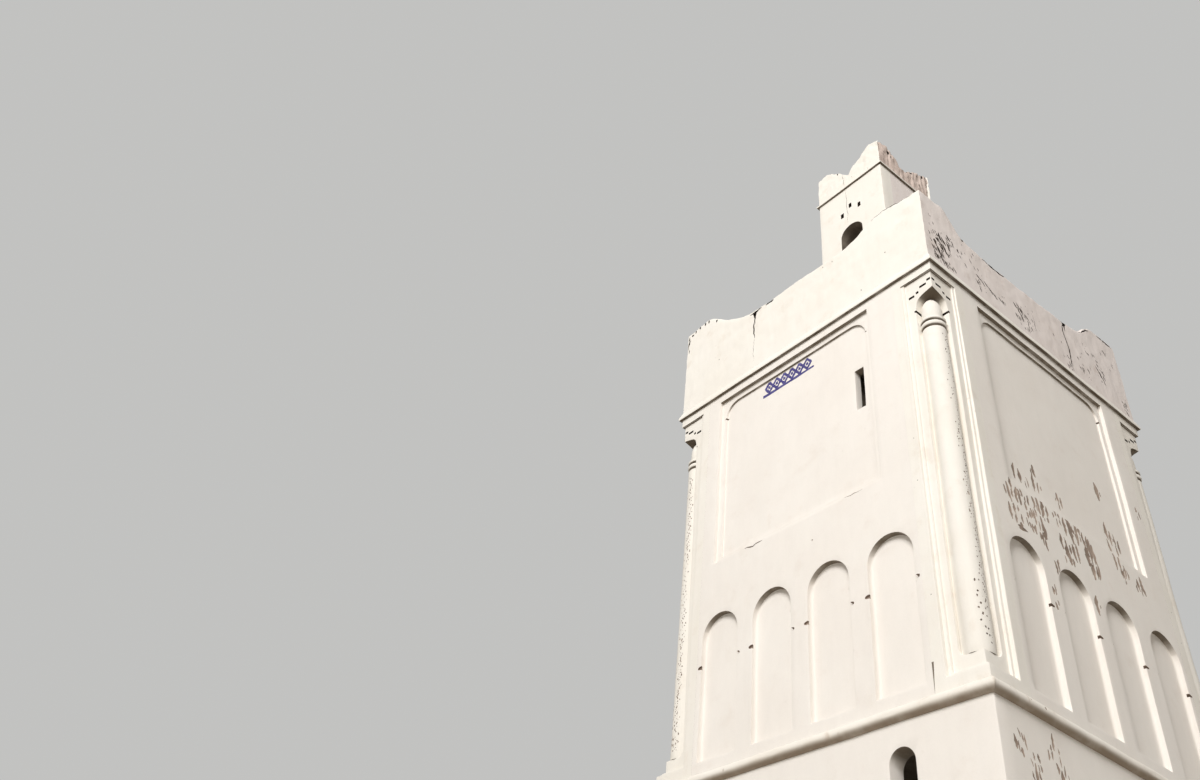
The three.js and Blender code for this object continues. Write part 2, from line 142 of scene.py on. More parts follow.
class Mixer:
    """Makes one material's nodes."""

    def __init__(self, name: str, world: bool = False) -> None:
        """Starts an empty material.

        Args:
            name: the material's name.
            world: whether it is the studio's surround instead.
        """
        self.material = (bpy.data.worlds if world else bpy.data.materials).new(name)
        self.material.use_nodes = True
        self.tree = self.material.node_tree
        self.tree.nodes.clear()

    def node(
        self, kind: str, settings: Mapping[str, object], sockets: Mapping[object, object], out: object = 0
    ) -> Value:
        """Adds a node.

        Args:
            kind: the node's type.
            settings: its settings, set first.
            sockets: values, links or numbers, by a socket's name or place.
            out: the output's name or place.

        Returns:
            The output, wrapped.
        """
        made = self.tree.nodes.new(kind)
        for key, setting in settings.items():
            setattr(made, key, setting)
        for key, value in sockets.items():
            if isinstance(value, Value):
                self.tree.links.new(value.socket, made.inputs[key])
            elif made.inputs[key].type == "RGBA":
                made.inputs[key].default_value = (*value, 1.0)
            else:
                made.inputs[key].default_value = value
        return Value(self, made.outputs[out])

    def place(self, stretch: Triple = (1.0, 1.0, 1.0)) -> Value:
        """The place on the object in metres, stretched along its axes."""
        where = self.node("ShaderNodeTexCoord", {}, {}, "Object")
        return self.node("ShaderNodeVectorMath", {"operation": "MULTIPLY"}, {0: where, 1: stretch})

    def grain(
        self, scale: float, detail: float = 3.0, stretch: Triple = (1, 1, 1), rough: float = 0.55
    ) -> Value:
        """Noise about 0.5, by repeats a metre, octaves, stretch and the finer octaves' share."""
        sockets = {"Vector": self.place(stretch), "Scale": scale, "Detail": detail, "Roughness": rough}
        return self.node("ShaderNodeTexNoise", {}, sockets, "Fac")

    def cells(self, scale: float, stretch: Triple = (1, 1, 1)) -> Value:
        """Distance to the nearest of scattered points, by points a metre and stretch."""
        sockets = {"Vector": self.place(stretch), "Scale": scale}
        return self.node("ShaderNodeTexVoronoi", {}, sockets, "Distance")

    def blend(self, share: object, below: object, above: object, way: str = "MIX") -> Value:
        """Mixes a share of the second colour into the first, in the way of a blend type."""
        settings = {"data_type": "RGBA", "blend_type": way}
        return self.node("ShaderNodeMix", settings, {0: share, 6: below, 7: above}, 2)

    def axis(self, vector: Value, name: str) -> Value:
        """One part of a vector, X, Y or Z."""
        return self.node("ShaderNodeSeparateXYZ", {}, {0: vector}, name)

    def facing(self, name: str) -> Value:
        """One part of the surface's own direction, before any bump."""
        return self.axis(self.node("ShaderNodeNewGeometry", {}, {}, "Normal"), name)

    def surface(self, colour: Value, roughness: Value, height: Value, depth: float) -> bpy.types.Material:
        """Closes the material with a matt surface.

        Args:
            colour: base colour.
            roughness: roughness.
            height: relief from 0 to 1.
            depth: what a height of 1 stands for, in metres.

        Returns:
            The material.
        """
        relief = self.node("ShaderNodeBump", {}, {"Height": height, "Distance": depth, "Strength": 1.0})
        sockets = {"Base Color": colour, "Roughness": roughness, "Normal": relief, "Specular IOR Level": 0.2}
        return self.close(self.node("ShaderNodeBsdfPrincipled", {}, sockets))

    def close(self, body: Value, kind: str = "ShaderNodeOutputMaterial") -> bpy.types.ID:
        """Joins the shader to the output.

        Args:
            body: the shader.
            kind: the output's type.

        Returns:
            The material, or the studio's surround.
        """
        end = self.tree.nodes.new(kind)
        self.tree.links.new(body.socket, end.inputs["Surface"])
        return self.material


# Finishes


@dataclass(frozen=True)
class Limewash:
    """Lime brushed on in many coats: cloudy, with brush marks, worn patches, specks and painted shade on
    undersides.
    """

    name: str
    coat: RGB
    cloud: RGB
    worn: RGB
    stain: RGB = (0.36, 0.28, 0.22)
    # Painted shade: the next colour darkens faces that look downwards, fully once the normal's Z has fallen
    # from under's first value to its second.
    underside_shade: RGB = (0.12, 0.092, 0.063)
    under: Point = (-0.5, -0.97)
    wear: float = 0.2
    streaks: float = 0.08
    specks: float = 0.2
    relief: float = 0.006

    def make(self) -> bpy.types.Material:
        """Builds the material.

        Returns:
            The material.
        """
        m = Mixer(self.name)
        low = m.axis(m.place(), "Z")
        clouds = m.grain(0.9, 4.0).band(0.32, 0.68)
        patches = m.grain(3.4, 6.0, rough=0.62)
        brushed = m.grain(9.0, 4.0, (1.0, 1.0, 0.28), 0.6)
        fine = m.grain(70.0, 3.0)
        colour = m.blend(clouds * 0.6, self.coat, self.cloud)
        colour = m.blend(patches.band(0.45, 0.75) * 0.4, colour, self.cloud)
        rubbed = (patches * 0.7 + brushed * 0.45).band(0.62, 0.8) * self.wear
        colour = m.blend(rubbed, colour, self.worn)
        runs = m.grain(7.0, 5.0, (1.0, 1.0, 0.05), 0.6).band(0.52, 0.8)
        soaked = runs * (m.grain(0.7, 2.0).band(0.3, 0.7) * 0.6 + 0.4) * self.streaks
        colour = m.blend(soaked, colour, self.worn, "MULTIPLY")
        dirt = m.cells(5.5, (1.0, 1.0, 0.8)).band(0.11, 0.03) * m.grain(1.7, 2.0).band(0.5, 0.72)
        colour = m.blend(dirt * self.specks, colour, self.stain)
        splash = low.band(0.9, 0.0) * m.grain(2.3, 4.0).band(0.3, 0.7)
        colour = m.blend(splash * 0.5, colour, self.stain)
        # Painted shade on undersides, a little mottled.
        shaded_under = m.facing("Z").band(*self.under) * (m.grain(5.0, 4.0).band(0.25, 0.6) * 0.2 + 0.78)
        colour = m.blend(shaded_under, colour, self.underside_shade)
        tone = fine * 0.05 + brushed * 0.07 + 0.94
        shade = m.node("ShaderNodeCombineColor", {}, {0: tone, 1: tone, 2: tone})
        colour = m.blend(1.0, colour, shade, "MULTIPLY")
        roughness = 0.97 - rubbed * 0.12
        lumps = m.grain(2.6, 2.0)
        height = lumps * 0.45 + patches * 0.22 + brushed * 0.2 + fine * 0.07
        return m.surface(colour, roughness, height, self.relief)


@dataclass(frozen=True)
class TwoTone:
    """A finish of two shades."""

    name: str
    light: RGB
    dark: RGB


@dataclass(frozen=True)
class BareRender(TwoTone):
    """The older brown render where the limewash has come off, gritty and soft; made dark, it is painted
    shade.
    """

    def make(self) -> bpy.types.Material:
        """Builds the material.

        Returns:
            The material.
        """
        m = Mixer(self.name)
        grit = m.grain(55.0, 6.0, rough=0.7)
        drift = m.grain(4.5, 4.0)
        colour = m.blend(drift.band(0.35, 0.65), self.light, self.dark)
        colour = m.blend(grit.band(0.55, 0.7) * 0.5, colour, self.light)
        stones = m.cells(45.0).band(0.16, 0.05)
        colour = m.blend(stones * 0.5, colour, self.dark)
        return m.surface(colour, 1.0 - grit * 0.06, grit + drift * 0.5, 0.006)


@dataclass(frozen=True)
class Screed(TwoTone):
    """Lime screed on the walks, trowelled and trodden."""

    def make(self) -> bpy.types.Material:
        """Builds the material.

        Returns:
            The material.
        """
        m = Mixer(self.name)
        swept = m.grain(5.0, 5.0, (1.0, 0.35, 1.0), 0.6)
        drift = m.grain(1.3, 4.0)
        grit = m.grain(90.0, 4.0)
        colour = m.blend(drift.band(0.35, 0.65), self.light, self.dark)
        colour = m.blend(swept.band(0.55, 0.8) * 0.5, colour, self.dark)
        cracks = m.node("ShaderNodeTexVoronoi", {"feature": "DISTANCE_TO_EDGE"},
                        {"Vector": m.place(), "Scale": 1.7}, "Distance").band(0.012, 0.0)
        colour = m.blend(cracks * 0.5, colour, (0.16, 0.13, 0.1))
        return m.surface(colour, 0.98 - drift * 0.08, swept * 0.5 + grit * 0.25 - cracks * 0.3, 0.007)


@dataclass(frozen=True)
class BrushedPaint(TwoTone):
    """Blue limewash brushed thinly over white, streaked and worn through in places."""

    def make(self) -> bpy.types.Material:
        """Builds the material.

        Returns:
            The material.
        """
        m = Mixer(self.name)
        strokes = m.grain(30.0, 4.0, (0.35, 1.0, 1.0), 0.6)
        drift = m.grain(6.0, 3.0)
        share = (strokes * 0.8 + drift * 0.4).band(0.5, 0.85)
        colour = m.blend(share, self.dark, self.light)
        return m.surface(colour, 0.95 - share * 0.05, strokes, 0.002)


@dataclass(frozen=True)
class PlainGround(TwoTone):
    """A plain pale studio floor."""

    def make(self) -> bpy.types.Material:
        """Builds the material.

        Returns:
            The material.
        """
        m = Mixer(self.name)
        cloud = m.grain(0.4, 2.0)
        return m.surface(m.blend(cloud * 0.1, self.dark, self.light), 0.9 + cloud * 0.05, cloud, 0.001)


# Forms


def wandering(p: Vector, amount: float) -> Vector:
    """How far hand-laid plaster strays at a place, the same for every piece that meets there.

    Args:
        p: the place.
        amount: the largest stray, about.

    Returns:
        The stray.
    """
    slow = noise.noise_vector(p * 0.9 + Vector((3.1, 7.7, 1.3)))
    quick = noise.noise_vector(p * 3.3 + Vector((9.2, 0.4, 5.8)))
    return (slow * 0.8 + quick * 0.4) * amount


def turned(quarters: int, shift: Sequence[float] = (0.0, 0.0, 0.0)) -> Matrix:
    """The turn from the front side to another by quarter turns about Z, then a shift."""
    return Matrix.Translation(Vector(shift)) @ Matrix.Rotation(quarters * QUARTER, 4, "Z")


def at_both(*tests: Callable[[Vector], bool]) -> Callable[[Vector, Vector], bool]:
    """Says of an edge whether one of the tests holds at both of its ends."""
    return lambda a, b: any(test(a) and test(b) for test in tests)


class Form:
    """A closed shape in the making."""

    def __init__(self) -> None:
        """Starts empty."""
        self.bm = bmesh.new()

    @classmethod
    def block(cls, x: Point, y: Point, z: Point) -> "Form":
        """A block between two ends on each axis."""
        outline = [(x[0], z[0]), (x[1], z[0]), (x[1], z[1]), (x[0], z[1])]
        return cls.prism(outline, *y)

    @classmethod
    def rings(cls, rings: Sequence[Sequence[Vector]], coat: Coat = Coat.LIMEWASH) -> "Form":
        """A skin over rings of equally many points, closed at both ends.

        Args:
            rings: the rings in order.
            coat: the finish of its faces.

        Returns:
            The form.
        """
        form = cls()
        bm = form.bm
        rows = [[bm.verts.new(p) for p in ring] for ring in rings]
        for near, far in zip(rows, rows[1:]):
            for i in range(len(near)):
                j = (i + 1) % len(near)
                bm.faces.new((near[i], near[j], far[j], far[i]))
        bm.faces.new(list(reversed(rows[0])))
        bm.faces.new(rows[-1])
        for face in bm.faces:
            face.material_index = coat.value
        bmesh.ops.recalc_face_normals(bm, faces=bm.faces)
        return form

    @classmethod
    def prism(cls, outline: Sequence[Point], near: float, far: float, coat: Coat = Coat.LIMEWASH) -> "Form":
        """An outline in x and z carried from one y to another, all its faces in one coat."""
        return cls.rings([[Vector((x, y, z)) for x, z in outline] for y in (near, far)], coat)

    def mesh(self, name: str) -> bpy.types.Mesh:
        """Writes the form to a mesh.

        Args:
            name: the mesh's name.

        Returns:
            The mesh.
        """
        mesh = bpy.data.meshes.new(name)
        self.bm.to_mesh(mesh)
        return mesh

    def move(self, matrix: Matrix) -> "Form":
        """Moves every point."""
        bmesh.ops.transform(self.bm, matrix=matrix, verts=self.bm.verts)
        return self

    def join(self, other: "Form") -> None:
        """Takes in another form, which is used up.

        Args:
            other: the other form.
        """
        part = other.mesh("part")
        self.bm.from_mesh(part)
        bpy.data.meshes.remove(part)
        other.bm.free()

    def cut(self, cutters: Sequence["Form"], crossing: bool = False) -> "Form":
        """Takes other forms away from this one; their faces keep their own coat.

        Args:
            cutters: the forms to take away.
            crossing: whether they cross one another.

        Returns:
            The form.
        """
        if not cutters:
            return self
        tools = Form()
        for cutter in cutters:
            tools.join(cutter)
        objects = []
        for form in (self, tools):
            mesh = form.mesh("cutting")
            for coat in Coat:
                name = f"spare_{coat.name}"
                mesh.materials.append(bpy.data.materials.get(name) or bpy.data.materials.new(name))
            objects.append(bpy.data.objects.new("cutting", mesh))
            bpy.context.scene.collection.objects.link(objects[-1])
        tools.bm.free()
        knife = objects[0].modifiers.new("cut", "BOOLEAN")
        knife.operation, knife.solver, knife.material_mode = "DIFFERENCE", "EXACT", "TRANSFER"
        knife.use_self = crossing
        knife.object = objects[1]
        whole = objects[0].evaluated_get(bpy.context.evaluated_depsgraph_get())
        self.bm.clear()
        self.bm.from_mesh(whole.to_mesh())
        whole.to_mesh_clear()
        for obj, mesh in [(obj, obj.data) for obj in objects]:
            bpy.data.objects.remove(obj)
            bpy.data.meshes.remove(mesh)
        return self

    def soften(self, width: float, keep: Callable[[Vector, Vector], bool]) -> "Form":
        """Joins doubled points and flat neighbours, and rounds the arrises.

        Args:
            width: how far the rounding reaches.
            keep: says whether an edge between two points stays sharp.

        Returns:
            The form.
        """
        bm = self.bm
        bmesh.ops.remove_doubles(bm, verts=bm.verts, dist=WELD)
        bmesh.ops.dissolve_limit(
            bm, angle_limit=math.radians(FLAT), verts=bm.verts, edges=bm.edges, delimit={"MATERIAL"})
        edges = [
            e for e in bm.edges
            if len(e.link_faces) == 2 and e.calc_face_angle(0.0) > math.radians(ROUNDED)
            and not any(f.material_index for f in e.link_faces) and not keep(e.verts[0].co, e.verts[1].co)
        ]
        bmesh.ops.bevel(
            bm, geom=edges, offset=width, segments=2, profile=0.6, affect="EDGES",
            offset_type="OFFSET", clamp_overlap=True, harden_normals=False)
        return self

    def divide(self, step: float) -> "Form":
        """Cuts the faces by evenly spaced planes, so that they can wander.

        Args:
            step: the spacing, about.

        Returns:
            The form.
        """
        bm = self.bm
        for axis in range(3):
            places = [v.co[axis] for v in bm.verts]
            low, high = min(places), max(places)
            count = int((high - low) / step)
            normal = Vector((axis == 0, axis == 1, axis == 2))
            for i in range(1, count):
                bmesh.ops.bisect_plane(
                    bm, geom=[*bm.verts, *bm.edges, *bm.faces], dist=1e-5,
                    plane_co=normal * (low + (high - low) * i / count), plane_no=normal)
        return self

    def stray(self, amount: float, extra: Callable[[Vector], Vector] | None = None) -> None:
        """Moves every point as hand-laid plaster strays, inside the object's box.

        Args:
            amount: the largest stray, about.
            extra: a further stray of this form alone.
        """
        for v in self.bm.verts:
            moved = v.co + (wandering(v.co, amount) + (extra(v.co) if extra else Vector()))
            v.co = [min(max(c, low), high) for c, low, high in zip(moved, CAD_LOW, CAD_HIGH)]

    def line(self, inside: Callable[[Vector], bool]) -> None:
        """Gives the faces of the inside their own coat: unwashed render, painted dark as shade inside the
        tower.

        Args:
            inside: says whether a place is on the inside.
        """
        for face in self.bm.faces:
            if inside(face.calc_center_median()):
                face.material_index = Coat.INSIDE.value

    def piece(self, name: str, nodes: Sequence[str], slot: str, materials: Sequence[bpy.types.Material],
              sharp: float = SHARP) -> None:
        """Makes the finished piece that stands for its nodes.

        Args:
            name: the piece's name.
            nodes: the nodes that it stands for.
            slot: the record's material slot; not used.
            materials: limewash, bare render and the inside's render; on some pieces the bare render is almost
                black and the inside's render dark, both painted shade.
            sharp: the smallest angle that stays an edge, in degrees.
        """
        mesh = self.mesh(name)
        self.bm.free()
        for material in materials:
            mesh.materials.append(material)
        mesh.shade_smooth()
        mesh.set_sharp_from_angle(angle=math.radians(sharp))
        obj = bpy.data.objects.new(name, mesh)
        bpy.context.scene.collection.objects.link(obj)
        if nodes:
            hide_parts(*nodes)
        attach(obj, "root")
        LOG.info("%s: %d faces", name, len(mesh.polygons))


def arch(x: float, half: float, foot: float, spring: float, steps: int = 24) -> list[Point]:
    """The outline of a round-headed opening.

    Args:
        x: its middle.
        half: half its width.
        foot: its foot.
        spring: where the round head starts.
        steps: facets of the head.

    Returns:
        The points, from the left foot.
    """
    turns = (math.pi * i / steps for i in range(steps + 1))
    head = [(x + half * math.cos(a), spring + half * math.sin(a)) for a in turns]
    return [(x - half, foot), (x + half, foot), *head]


# Damage


class Damage:
    """Seeded cutters for worn places, shaped on the front face of a wall."""

    def __init__(self, seed: int, out: float) -> None:
        """Starts a row of cutters.

        Args:
            seed: the seed.
            out: how far the face stands from the middle.
        """
        self.random = random.Random(seed)
        self.out = out
        self.cutters: list[Form] = []

    def plate(self, left: list[Point], right: list[Point], depth: float, proud: float = 0.04) -> None:
        """Adds a cutter between two edges, proud of the face and so deep."""
        self.cutters.append(Form.prism(left + right[::-1], -self.out - proud, -self.out + depth, Coat.BARE_AND_SHADE))

    def flake(self, x: float, z: float, width: float, height: float, depth: float = 0.004,
              lean: float = 0.0) -> None:
        """A sliver where the coat has peeled, ragged and pointed at its ends.

        Args:
            x: its middle.
            z: its middle.
            width: its width.
            height: its height.
            depth: how deep it is.
            lean: how far it leans from upright, in radians.
        """
        count = max(6, int(height / 0.03))
        bow = self.random.uniform(-0.3, 0.3) * width
        cosine, sine = math.cos(lean), math.sin(lean)
        left, right = [], []
        for i in range(count + 1):
            t = i / count
            half = width / 2 * math.sin(math.pi * min(max(t, 0.04), 0.96)) ** 0.6
            middle = bow * math.sin(math.pi * t)
            w = (t - 0.5) * height
            for side, row in ((-1, left), (1, right)):
                u = middle + side * half * self.random.uniform(0.5, 1.2)
                row.append((x + u * cosine - w * sine, z + u * sine + w * cosine))
        ring = left + right[::-1]
        rings = []
        for y, share in ((-self.out - 0.02, 1.0), (-self.out + depth * 0.4, 1.0), (-self.out + depth, 0.82)):
            rings.append([Vector((x + (a - x) * share, y, z + (b - z) * share)) for a, b in ring])
        self.cutters.append(Form.rings(rings, Coat.BARE_AND_SHADE))

    def peeled(self, x: float, z: float, wide: float, tall: float, count: int, size: float = 0.04,
               lean: float = 0.05) -> None:
        """A place where the brushed coat has come off in upright slivers, clear of one another.

        Args:
            x: its middle.
            z: its middle.
            wide: half its width.
            tall: half its height.
            count: how many slivers.
            size: the width of a middling sliver.
            lean: how far they lean from upright, in radians.
        """
        kept: list[tuple[float, float, float, float]] = []
        for _ in range(count * 8):
            if len(kept) == count:
                break
            angle, reach = self.random.uniform(0, math.tau), math.sqrt(self.random.random())
            u, w = math.cos(angle) * reach, math.sin(angle) * reach
            width = size * self.random.uniform(0.45, 1.5) * (1.15 - 0.45 * reach)
            height = width * self.random.uniform(1.6, 4.5)
            a, b = x + u * wide, z + w * tall
            if all(abs(a - c) > (width + e) * 0.5 or abs(b - d) > (height + f) * 0.45 for c, d, e, f in kept):
                kept.append((a, b, width, height))
        for a, b, width, height in kept:
            self.flake(a, b, width, height, lean=lean + self.random.uniform(-0.15, 0.15))

    def pit(self, x: float, z: float, size: float, depth: float | None = None,
            y: float | None = None) -> None:
        """A small rounded hole.

        Args:
            x: its middle.
            z: its middle.
            size: half its width, about.
            depth: how deep it is; half its width if not given.
            y: where its middle lies, if not on the face.
        """
        form = Form()
        bmesh.ops.create_icosphere(form.bm, subdivisions=2 if size > 0.02 else 1, radius=1.0)
        reach = depth if depth is not None else size * 0.7
        tall = self.random.uniform(0.7, 1.8)
        middle = Vector((x, -self.out if y is None else y, z))
        for v in form.bm.verts:
            v.co *= self.random.uniform(0.72, 1.15)
            v.co = Vector((v.co.x * size / tall, v.co.y * reach, v.co.z * size * tall))
            v.co += middle
        for face in form.bm.faces:
            face.material_index = Coat.BARE_AND_SHADE.value
        self.cutters.append(form)

    def crack(self, points: Sequence[Point], width: float, depth: float = 0.03) -> None:
        """A crack through key points, widest in the middle.

        Args:
            points: its key points.
            width: its largest width.
            depth: how deep it is.
        """
        line: list[Point] = []
        for (x0, z0), (x1, z1) in zip(points, points[1:]):
            parts = max(2, int(math.hypot(x1 - x0, z1 - z0) / 0.045))
            for i in range(parts):
                t = i / parts
                line.append((x0 + (x1 - x0) * t, z0 + (z1 - z0) * t))
        line.append(points[-1])
        left, right = [], []
        upright = abs(points[-1][1] - points[0][1]) > abs(points[-1][0] - points[0][0])
        for i, (x, z) in enumerate(line):
            share = i / (len(line) - 1)
            half = width / 2 * (0.25 + math.sin(math.pi * share) * self.random.uniform(0.5, 1.0))
            stray = self.random.uniform(-0.011, 0.011)
            if upright:
                left.append((x + stray - half, z))
                right.append((x + stray + half, z))
            else:
                left.append((x, z + stray - half))
                right.append((x, z + stray + half))
        self.plate(left, right, depth)

    def socket(self, x: float, z: float, width: float, height: float, depth: float) -> None:
        """A small square hole.

        Args:
            x: its middle.
            z: its middle.
            width: its width.
            height: its height.
            depth: its depth.
        """
        skew = [self.random.uniform(-0.006, 0.006) for _ in range(4)]
        low, high = z - height / 2, z + height / 2
        left = [(x - width / 2 + skew[0], low), (x + width / 2, low + skew[1])]
        right = [(x - width / 2, high + skew[3]), (x + width / 2 + skew[2], high)]
        self.plate(left, right, depth, 0.03)

    def gash(self, x: float, top: float, foot: float, width: float, depth: float = 0.08) -> None:
        """A split that opens towards the top edge.

        Args:
            x: its middle.
            top: its upper end, over the edge.
            foot: its lower end.
            width: its width at the top.
            depth: its depth.
        """
        left, right = [], []
        for i in range(9):
            t = i / 8
            half = width / 2 * (0.65 * (1 - t) ** 4 + 0.35 * (1 - t)) + 0.003
            stray = self.random.uniform(-0.006, 0.006)
            left.append((x + stray - half, top + (foot - top) * t))
            right.append((x + stray + half, top + (foot - top) * t))
        self.plate(left, right, depth)

    def scatter(self, count: int, x: Point, z: Point, size: Point) -> None:
        """Spreads pits over a field, between two ends along x and z and two sizes."""
        for _ in range(count):
            s = self.random.uniform(*size)
            self.pit(self.random.uniform(*x), self.random.uniform(*z), s)

    def forms(self, matrix: Matrix) -> list[Form]:
        """The cutters, moved to their side."""
        return [cutter.move(matrix) for cutter in self.cutters]


# Sub-assemblies


@dataclass
class Levels:
    """Heights that several sub-assemblies share."""

    half: float = 2.25
    course_foot: float = 6.13
    course_height: float = 0.14
    frame_top: float = 11.65
    ledge_foot: float = 11.777
    terrace_top: float = 11.977

    @property
    def upper_foot(self) -> float:
        """Where the upper shaft starts."""
        return self.course_foot + self.course_height

    @property
    def upper_top(self) -> float:
        """Where the upper shaft ends."""
        return self.ledge_foot - JOINT


@dataclass
class Finishes:
    """The materials of the whole object."""

    ivory: bpy.types.Material
    pale: bpy.types.Material
    moulded: bpy.types.Material
    weathered: bpy.types.Material
    eroded: bpy.types.Material
    bare: bpy.types.Material
    pitted_and_shaded: bpy.types.Material
    inside: bpy.types.Material
    screed: bpy.types.Material
    blue: bpy.types.Material

    @classmethod
    def mixed(cls) -> "Finishes":
        """Makes them all.

        Returns:
            The materials.
        """
        finishes = (
            # Every limewash below paints shade on faces that look downwards; pale and moulded set their own
            # reach and colour for it.
            Limewash("ivory_limewash", (0.88, 0.848, 0.79), (0.84, 0.795, 0.72), (0.68, 0.59, 0.5), wear=0.3),
            Limewash(
                "pale_limewash", (0.87, 0.83, 0.78), (0.84, 0.79, 0.735), (0.7, 0.62, 0.55),
                under=(-0.3, -0.95), underside_shade=(0.17, 0.137, 0.1), specks=0.1),
            Limewash(
                "moulded_limewash", (0.88, 0.84, 0.775), (0.82, 0.76, 0.68), (0.55, 0.45, 0.36),
                under=(0.1, -0.8), underside_shade=(0.3, 0.24, 0.18), wear=0.6, specks=0.7),
            Limewash(
                "weathered_limewash", (0.83, 0.765, 0.735), (0.77, 0.695, 0.655), (0.55, 0.46, 0.41),
                wear=0.55, streaks=0.15, specks=0.9, relief=0.014),
            Limewash(
                "eroded_limewash", (0.7, 0.59, 0.53), (0.54, 0.43, 0.38), (0.32, 0.25, 0.21),
                wear=0.9, streaks=0.6, specks=0.9, relief=0.014),
            BareRender("bare_render", (0.44, 0.35, 0.29), (0.27, 0.21, 0.17)),
            # Bared render painted almost black: painted shade in the pits, cracks, slots, sockets and peeled
            # places of piers, parapets and lantern walls.
            BareRender("pitted_render_and_shade", (0.075, 0.058, 0.045), (0.04, 0.03, 0.023)),
            # Unwashed render of the inside, painted darker than bare render: painted shade inside the tower.
            BareRender("inner_render_and_shade", (0.26, 0.22, 0.175), (0.16, 0.13, 0.1)),
            Screed("floor_screed", (0.56, 0.49, 0.4), (0.4, 0.34, 0.27)),
            BrushedPaint("blue_paint", (0.14, 0.135, 0.34), (0.07, 0.062, 0.21)),
        )
        return cls(*(finish.make() for finish in finishes))


def mitred_run(
    half: float, bend: float, stations: Sequence[float], section: Callable[[float], Sequence[Point]]
) -> Form:
    """One side's length of a course, mitred to its neighbours.

    Args:
        half: where the ends of the stations lie.
        bend: from where on the stations fan out to the mitre.
        stations: places along the side, from -half to half.
        section: the closed section at a station, as distance out and height.

    Returns:
        The form.
    """
    rings = []
    for s in stations:
        ring = []
        for out, z in section(s):
            x = s
            if abs(s) > bend:
                x = math.copysign(bend + (abs(s) - bend) * (out - JOINT - bend) / (half - bend), s)
            ring.append(Vector((x, -out, z)))
        rings.append(ring)
    return Form.rings(rings)


def spaced(low: float, high: float, step: float) -> list[float]:
    """Numbers from low to high, ends included, spaced evenly by about a step."""
    count = max(1, round((high - low) / step))
    return [low + (high - low) * i / count for i in range(count + 1)]


def swept_top(keys: Sequence[Point], left: float, right: float, half: float) -> Callable[[float], float]:
    """The height of a wall top swept through its key points.

    Args:
        keys: key points along the side.
        left: height at the left corner.
        right: height at the right corner.
        half: where the corners lie.

    Returns:
        The height at a place along the side.
    """
    points = [(-half, left)]
    for i in range(len(keys) - 1):
        p = [keys[max(i - 1, 0)], keys[i], keys[i + 1], keys[min(i + 2, len(keys) - 1)]]
        for j in range(8):
            t = j / 8
            points.append(tuple(
                0.5 * (2 * p[1][k] + (p[2][k] - p[0][k]) * t
                       + (2 * p[0][k] - 5 * p[1][k] + 4 * p[2][k] - p[3][k]) * t * t
                       + (3 * p[1][k] - p[0][k] - 3 * p[2][k] + p[3][k]) * t * t * t)
                for k in (0, 1)
            ))
    points += [keys[-1], (half, right)]
    xs = [p[0] for p in points]

    def height(x: float) -> float:
        """Height at x."""
        i = min(max(bisect_right(xs, x), 1), len(xs) - 1)
        (x0, z0), (x1, z1) = points[i - 1], points[i]
        return z0 + (z1 - z0) * min(max((x - x0) / (x1 - x0), 0.0), 1.0)

    return height


